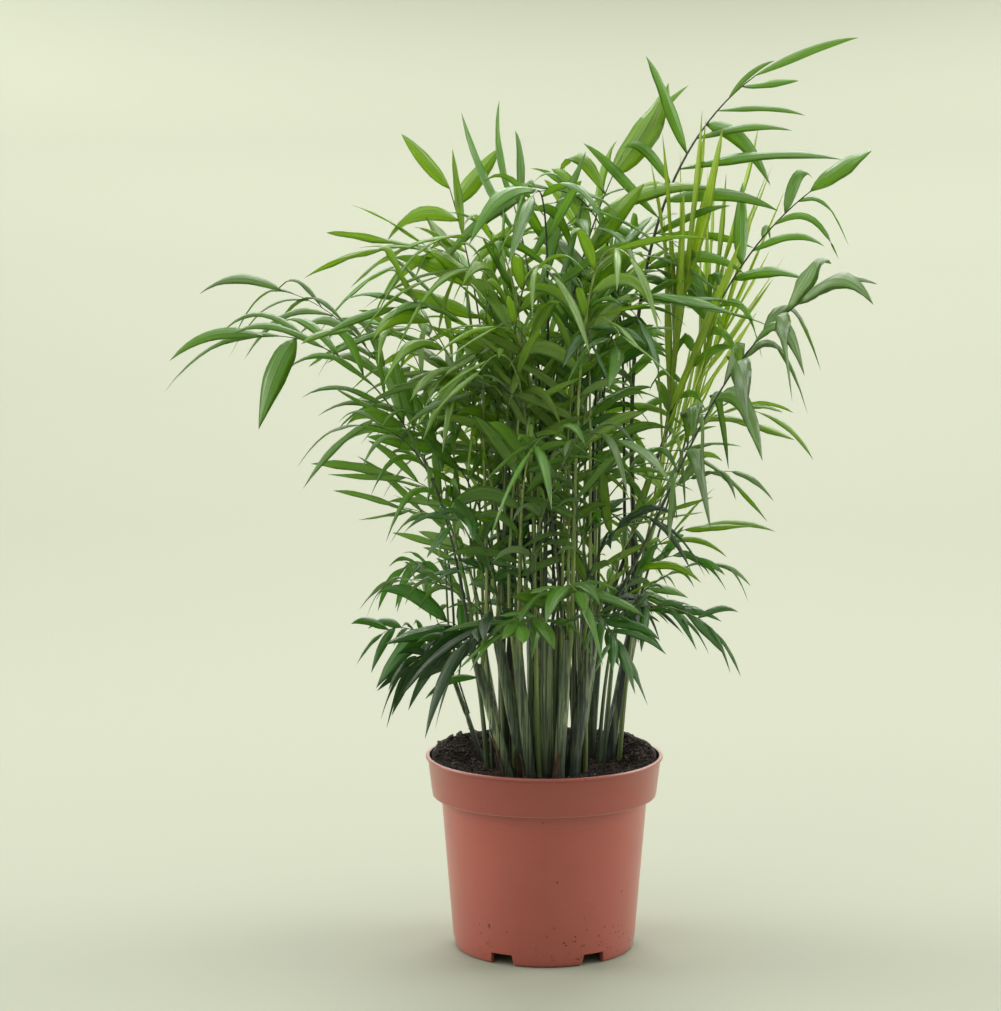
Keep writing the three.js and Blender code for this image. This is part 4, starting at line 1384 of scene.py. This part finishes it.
leafPlan = {
    "tree": dict(Steps=10, Fold=0.42, Thickness=0.0003, Ripple=0.14, Droop=2.5),
    "common": dict(
        firstSpread=58, lastSpread=30, spreadJitter=28, lift=0.2, leastSag=0.45, sagJitter=1.25,
        curl=0.38, roll=0, length=1, width=1, tipLength=1, tipWidth=0.07, leaves={},
        density=1, lengthen=0.94, halfWidth=0.054, shortest=0.84, wander=1, facing=0, slack=1,
        kinds=("bright", "green", "grey", "deep", "green")),
    "lowLeaf": 63, "longLeaf": 75,  # the longest leaflet of a low frond and the shortest of a long one
    "reaches": {
        # low fronds take the darker kinds: painted shade beneath the crown
        "low": dict(density=1.5, lengthen=0.9, halfWidth=0.096, shortest=0.62, wander=2.2, facing=0.3,
                    kinds=("green", "deep", "dusky", "deep", "dusky")),
        "long": dict(density=1.5, lengthen=1.06),
        "middle": {},
        "shoot": dict(slack=0.55),
    },
    "longKinds": ("bright", "green"),
    "front": (0.0, -1.0, 0.25), "liftJitter": 0.5, "sagCurve": 1.6, "foreshorten": 12,
    # a leaflet's length: at the foot of the blade, its rise and fall along it, and the longest by chance
    "footLength": 0.68, "lengthRise": 0.85, "lengthFall": 0.68, "longest": 1.12,
    "widthJitter": 0.36, "tipStart": 0.86, "curlJitter": (-0.2, 1.0), "bluntness": (0.9, 1.2),
    "turn": 60, "twist": 90, "hang": -0.55, "edgeSwell": 8.0, "waves": 14.0, "waveTwist": 9.0,
    "hollow": (0.4, 0.6), "flatWeld": 0.0001, "bentWeld": 0.000002, "crease": 0.01,
    "outline": [  # the way along a leaflet and the share of its half width
        (0, 0.10), (0.04, 0.33), (0.15, 0.75), (0.33, 1.0), (0.50, 0.98), (0.67, 0.81), (0.82, 0.53),
        (0.93, 0.23), (1, 0),
    ],
    "colours": {  # upper side, underside and the light that comes through
        # the fresh kind is partly painted light: pale young leaves, with the glow of light from behind put
        # into their colour
        "fresh": (srgb(172, 200, 74), srgb(178, 204, 88), srgb(214, 236, 72)),
        "bright": (srgb(122, 164, 50), srgb(136, 170, 80), srgb(196, 226, 48)),
        "green": (srgb(94, 146, 46), srgb(116, 154, 78), srgb(178, 216, 46)),
        # deep and dusky are darkened for the low fronds that mostly wear them: painted shade
        "deep": (srgb(60, 116, 32), srgb(86, 124, 60), srgb(140, 194, 38)),
        "dusky": (srgb(38, 80, 28), srgb(70, 98, 62), srgb(96, 148, 36)),
        # the grey kind is a painted reflection: the grey sheen that leaf tops take from the bright sky, put
        # into their colour
        "grey": (srgb(110, 140, 88), srgb(128, 150, 108), srgb(172, 208, 70)),
    },
    "darkTint": 0.56, "lightTint": 1.38, "paleGrey": 0.42, "paleShare": 0.16,
    "marks": dict(Veins=4.0, Mottle_Scale=4.5),
    "coats": (  # mark, share, tone
        ("Mottle", 0.5, "plain"), ("Streaks", 0.42, "dark"), ("Lines", 0.34, "pale"), ("Root", 0.3, "pale"),
        ("Midrib", 0.45, "pale"),
    ),
    "veinTint": 0.72, "veinShare": 0.7, "glow": 0.5, "relief": (0.6, 0.0004),
    "upper": dict(Specular_IOR_Level=1.0, Coat_Weight=0.4, Coat_Roughness=0.26),
    "under": dict(Specular_IOR_Level=0.55),
    "upperRoughness": (0.24, 0.42), "underRoughness": (0.4, 0.6),
}
# the strips wear the palest kind, whose colour holds painted back light
strips = dict(kind="fresh", firstSpread=20, lastSpread=5, spreadJitter=12, leastSag=0.0, sagJitter=0.12,
              width=0.52, curl=0.06, lift=0.0, length=1.25, density=1.8)
frondLooks = {  # what sets single fronds apart from the common rule, and single leaflets by their order
    0: dict(kind="green", width=0.82, lift=0.25, leastSag=0.3, sagJitter=0.9, leaves={
        16: dict(spread=-16, sag=0.2, length=0.94, width=0.85), 15: dict(sag=0.2, length=0.5, width=1.6),
        14: dict(spread=4, sag=0.3, length=0.6), 13: dict(sag=0.35, length=0.72),
        12: dict(spread=-62, sag=1.3, length=0.64, width=2.2), 11: dict(sag=0.4, length=0.86),
        9: dict(length=1.35, width=1.1), 7: dict(length=0.98, width=1.5), 5: dict(length=0.85)}),
    1: dict(kind="green", width=1.25, length=0.86, sagJitter=1.9, facing=0.5, leaves={
        16: dict(spread=-14, sag=0.1, length=0.84, width=1.4, facing=0.9), 13: dict(width=0.5),
        12: dict(length=0.6), 10: dict(sag=0.1, length=0.84, width=1.5, facing=0.95)}),
    2: dict(kind="grey", width=1.35, length=1.45, leastSag=1.6, sagJitter=1.2, firstSpread=50, lastSpread=20,
            tipLength=0.8, tipWidth=0.09, leaves={
                16: dict(sag=0.7, length=0.76, facing=0.6), 15: dict(sag=1.2),
                14: dict(sag=1.0, length=0.9)}),
    3: dict(kind="bright", width=1.45, leastSag=0.2, sagJitter=0.8, density=1.3, facing=0.6, leaves={
        12: dict(spread=-10, sag=0.1, length=0.85, width=0.42),
        11: dict(spread=16, sag=0.1, length=0.84, width=1.3, facing=0.9),
        10: dict(spread=46, sag=1.3, length=0.95, width=0.8, facing=0.8)}),
    4: dict(width=0.42, length=1.3, curl=0.8, firstSpread=54, lastSpread=26, leastSag=0.1, sagJitter=0.7,
            leaves={12: dict(spread=16, length=0.76), 10: dict(spread=25, length=0.95)}),
    5: dict(kind="bright", width=1.1, length=0.74, firstSpread=74, lastSpread=40, spreadJitter=8,
            leastSag=0.0, sagJitter=0.9, curl=0.15, facing=0.75, leaves={
                16: dict(spread=36, sag=0.0, length=1.12, width=1.1),
                15: dict(spread=52, sag=0.1, width=1.25), 14: dict(spread=60, sag=1.0, length=1.05),
                13: dict(spread=6, sag=0.0, length=1.15, width=0.8), 12: dict(sag=1.6, length=1.2)}),
    6: dict(kind="bright"),
    7: dict(kind="bright", leastSag=0.8),
    8: dict(kind="green", firstSpread=44, lastSpread=12, leastSag=0.9, sagJitter=0.9, length=1.14,
            width=0.8, tipWidth=0.06, density=1.8, leaves={
                16: dict(spread=76, sag=1.2, length=0.64, width=3.0, facing=0.9)}),
    9: dict(kind="grey", firstSpread=40, lastSpread=12, leastSag=0.9, sagJitter=0.9, length=1.08, width=0.8,
            tipWidth=0.06, density=1.7),
    10: dict(kind="grey", leastSag=0.9),
    12: dict(kind="grey", leastSag=0.8, length=0.8, width=0.7, density=1.1, roll=-50),
    # the low fronds from here on mostly take the deep and dusky kinds: painted shade under the crown
    13: dict(kind="dusky", leastSag=0.7, length=0.9, width=1.3, roll=55, firstSpread=76),
    14: dict(kind="green", leastSag=0.4, sagJitter=1.0, length=1.2),
    15: dict(kind="deep", leastSag=0.5, length=0.8, width=0.85, density=1.3, roll=45),
    16: dict(kind="grey", leastSag=1.1, length=0.85, width=0.75, density=1.2),
    17: dict(kind="grey"),
    18: dict(kind="bright", leastSag=0.2, width=0.6),
    20: dict(kind="dusky", leastSag=0.7, length=1.25, width=1.2, roll=35),
    21: dict(kind="green", leastSag=0.4, sagJitter=1.0, length=1.15),
    22: dict(kind="grey", leastSag=0.8, length=0.75, width=0.6, density=1.1, roll=50),
    23: dict(kind="deep", leastSag=0.4, sagJitter=1.0, length=1.15),
    24: dict(roll=-40),
    25: dict(kind="deep", leastSag=0.5, length=0.72, width=1.1, roll=-45),
    26: dict(kind="deep", leastSag=0.4, roll=50),
    29: dict(tipWidth=0.05),
    37: dict(tipWidth=0.045, tipLength=0.8),
    300: strips,
    301: strips,
    302: dict(strips, firstSpread=36, lastSpread=14, width=0.6),
    303: dict(kind="bright", width=1.3),
    304: dict(kind="green", width=1.2),
    305: dict(kind="bright", firstSpread=50, width=0.8, tipWidth=0.05),
    306: dict(kind="bright", firstSpread=50, width=0.9),
    307: dict(kind="green", leastSag=0.0, sagJitter=0.4, curl=0.15),
    308: dict(kind="green", leastSag=0.0, sagJitter=0.8, curl=0.15),
    309: dict(kind="deep", leastSag=0.8, width=1.5),
    310: dict(kind="green", leastSag=0.1, sagJitter=0.9, curl=0.15),
    311: dict(kind="bright", leastSag=0.1, sagJitter=0.9, firstSpread=66),
    312: dict(kind="bright", width=1.4),
    313: dict(kind="green", width=1.4),
}


def reachOf(frond):
    # whether a frond is a low one, a long one that stands out, one between them, or a shoot's
    if frond["size"] == "shoot":
        return "shoot"
    if frond["leaf"] < leafPlan["lowLeaf"] * mm:
        return "low"
    return "long" if frond["size"] == "key" and frond["leaf"] > leafPlan["longLeaf"] * mm else "middle"


def lookOf(frond):
    own = frondLooks.get(frond["number"], {})
    return {**leafPlan["common"], **leafPlan["reaches"][reachOf(frond)], **own}


def leafKind(frond):
    # which colour a frond's spray takes: young and high fronds are the brightest and low ones the darkest,
    # partly painted light and shade for the lit top of the crown and the shaded fronds beneath it
    look = lookOf(frond)
    kinds = leafPlan["longKinds"] if frond["leaf"] > leafPlan["longLeaf"] * mm else look["kinds"]
    return look.get("kind", kinds[int(jitter(frond["number"] * 11 + 5) * len(kinds))])


def leafletsOf(frond):
    plan, look = leafPlan, lookOf(frond)
    front = unit(np.array(plan["front"]))
    last = 2 * round(frond["pairs"] * look["density"])
    leaflets = []
    for order in range(last + 1):
        t = order / last
        isTip = order == last
        side = 1 if order % 2 == 0 else -1
        single = look["leaves"].get(order, {})
        seed = frond["number"] * 37 + order
        share = 1 - frond["bladeShare"] * (1 - t)
        along, left, face = ribFrame(frond, share)
        left, face = turned(left, face, look["roll"])
        spread = mix(look["firstSpread"], look["lastSpread"], t)
        spread += look["spreadJitter"] * swing(seed) * look["wander"]
        angle = math.radians(single.get("spread", 0 if isTip else spread))
        lift = look["lift"] + plan["liftJitter"] * swing(seed + 0.3)
        leave = unit(along * math.cos(angle) + left * side * math.sin(angle) + face * lift)
        sag = (look["leastSag"] + look["sagJitter"] * jitter(seed + 0.8) ** plan["sagCurve"]) * look["slack"]
        sag = single.get("sag", sag)
        length = frond["leaf"] * (plan["footLength"] + plan["lengthRise"] * t - plan["lengthFall"] * t * t)
        length *= mix(look["shortest"], plan["longest"], jitter(seed + 0.6)) * look["lengthen"]
        length *= look["length"] * single.get("length", 1) * (look["tipLength"] if isTip else 1)
        length /= 1 + sag * sag / plan["foreshorten"]
        width = look["tipWidth"] if t > plan["tipStart"] else look["halfWidth"]
        width *= look["width"] * single.get("width", 1)
        facing = single.get("facing", look["facing"])
        ahead = front if face @ front > 0 else -front
        across = unit(np.cross(mix(face, ahead, facing), leave))
        turn = plan["turn"] * (1 - facing) * swing(seed + 0.15)
        leaflets.append({
            "root": bezier(frond["handles"], placeOnRib(frond, share))[0],
            "along": leave, "across": turned(across, np.cross(leave, across), turn)[0], "span": length,
            "girth": length * width * (1 + 2 * plan["widthJitter"] * swing(seed + 0.7)), "sag": sag,
            "curl": -side * look["curl"] * mix(*plan["curlJitter"], jitter(seed + 0.4)),
            "twist": math.radians(plan["twist"]) * swing(seed + 0.9),
            "tint": jitter(seed + 0.2), "blunt": mix(*plan["bluntness"], jitter(seed + 0.25)),
        })
    return leaflets


def leafSource(name, leaflets):
    # one point for each leaflet, which carries its directions and sizes
    values = {label: [leaf[label] for leaf in leaflets] for label in leaflets[0]}
    return pointMesh(name + "Roots", values.pop("root"), [], **values)


def bladeSkin(tree, under):
    # one side of the leaflet as a flat grid: X runs along it from 0 to 1, Y across from -1 to 1,
    # and Z holds the share of its thickness, which is nothing round the edge
    grid = tree.geo("MeshGrid", Size_X=1.0, Size_Y=2.0, Vertices_X=tree.given["Steps"] + 1.0, Vertices_Y=5)
    mapped = tree.store(grid["Mesh"], "bladeMap", grid["UV Map"], "FLOAT2", "CORNER")
    x, y = tree.position().parts()[:2]
    along = x + 0.5
    swell = (1.0 - along) * (along * leafPlan["edgeSwell"]).step("MINIMUM", 1.0)
    rise = (1.0 - y * y) * swell * (-1.0 if under else 1.0)
    swollen = tree.move(mapped, Position=tree.shade("CombineXYZ", along, y, rise)[0])
    marked = tree.store(swollen, "underside", under, "BOOLEAN", "FACE")
    return tree.geo("FlipFaces", Mesh=marked)["Mesh"] if under else marked


def bladeTree():
    # leaflets: a flat blade on each point, bent by the values that the point carries
    plan = leafPlan
    tree = growthTree("leafletBlades", Steps=9, Fold=0.3, Thickness=0.0004, Ripple=0.1, Droop=2.3,
                      Upper_Material=None, Under_Material=None)
    given = tree.given
    both = tree.geo("JoinGeometry")
    for under in (True, False):
        tree.feed(both.node.inputs[0], bladeSkin(tree, under))
    flat = tree.weld(both[0], plan["flatWeld"])
    kept = tree.store(flat, "blade", tree.position(), "FLOAT_VECTOR", "POINT")
    real = tree.instances(kept, given["Geometry"])

    blade, along, across = (tree.named(name, "FLOAT_VECTOR") for name in ("blade", "along", "across"))
    span, girth, sag, curl, twist, blunt = (
        tree.named(name) for name in ("span", "girth", "sag", "curl", "twist", "blunt"))
    u, v, w = blade.parts()
    down = (0.0, 0.0, plan["hang"])
    reach = span * u
    hang = u.step("POWER", given["Droop"])
    steep = hang / u.step("MAXIMUM", 0.001) * given["Droop"]
    centre = tree.position() - blade + along * reach + span * sag * hang * down
    centre = centre + across * curl * (reach * u * 0.5)
    slope = (along + sag * steep * down + across * (curl * u)).step("NORMALIZE")
    rolled = tree.shade("VectorRotate", Vector=across, Axis=slope, Angle=twist * u,
                        rotation_type="AXIS_ANGLE")["Vector"]
    out = slope.step("CROSS_PRODUCT", rolled).step("NORMALIZE")
    side = out.step("CROSS_PRODUCT", slope)

    outline = tree.shade("FloatCurve", Value=u.step("POWER", blunt))
    curve = outline.node.mapping.curves[0]
    for place, height in plan["outline"][1:-1]:
        curve.points.new(place, height)
    curve.points[0].location = plan["outline"][0]
    curve.points[-1].location = plan["outline"][-1]
    outline.node.mapping.update()
    half = girth * outline[0]
    aside, edge = half * v, v.step("ABSOLUTE")
    rise, middle = plan["hollow"]
    fold = half * edge * (edge * rise + middle) * given["Fold"]
    ripple = (u * plan["waves"] + twist * plan["waveTwist"]).step("SINE") * aside * given["Ripple"]
    height = w * given["Thickness"] - fold + ripple
    bent = tree.move(real, Position=centre + (side * aside + out * height))
    smoothed = tree.geo("SetShadeSmooth", tree.weld(bent, plan["bentWeld"]))["Geometry"]
    creased = tree.geo("SetShadeSmooth", Geometry=smoothed, Selection=edge.step("LESS_THAN", plan["crease"]),
                       Shade_Smooth=False, domain="EDGE")["Geometry"]
    upper = tree.geo("SetMaterial", Geometry=creased, Material=given["Upper Material"])["Geometry"]
    return tree.give(Geometry=tree.geo(
        "SetMaterial", Geometry=upper, Selection=tree.named("underside", "BOOLEAN"),
        Material=given["Under Material"])["Geometry"])


def makeLeafMaterial(name, colour, through, side):
    plan = leafPlan
    tree = newMaterial(name, **plan[side])
    marks = tree.group("blade", **plan["marks"])
    tones = {
        "plain": colour, "dark": tinted(colour, plan["darkTint"]), "light": tinted(colour, plan["lightTint"]),
        "pale": tuple(mix(channel, plan["paleGrey"], plan["paleShare"]) for channel in colour[:3]) + (1.0,),
    }
    tint = tree.shade("Attribute", attribute_name="tint")["Fac"]
    coats = [(mark, share, tones[tone]) for mark, share, tone in plan["coats"]]
    layered = tree.layers(tree.blend(tint, tones["dark"], tones["light"]), marks, coats)
    material = finishMaterial(tree, layered, (marks["Mottle"], *plan[side + "Roughness"]),
                              (marks["Relief"], *plan["relief"]))
    passed = tree.blend(marks["Streaks"] * plan["veinShare"], through, tinted(through, plan["veinTint"]))
    glow = tree.shade("BsdfTranslucent", Color=passed)[0]
    both = tree.shade("MixShader", plan["glow"], Wire(tree, tree.shader.outputs[0]), glow)[0]
    tree.feed(tree.data.nodes["Material Output"].inputs["Surface"], both)
    return material


def makeLeaves():
    tree = bladeTree()
    for kind, (upper, under, through) in leafPlan["colours"].items():
        name = kind + "Leaves"
        chosen = [frond for frond in fronds + shoots if leafKind(frond) == kind]
        leaflets = [leaf for frond in chosen for leaf in leafletsOf(frond)]
        piece = runTree(name, leafSource(name, leaflets), tree, **leafPlan["tree"],
                        Upper_Material=makeLeafMaterial(name + "Upper", upper, through, "upper"),
                        Under_Material=makeLeafMaterial(name + "Under", under, through, "under"))
        dress(piece, frondNodes(chosen))
        print(" ", name, len(leaflets), "leaflets", len(piece.data.polygons), "faces")


makeLeaves()
print("leaflets")
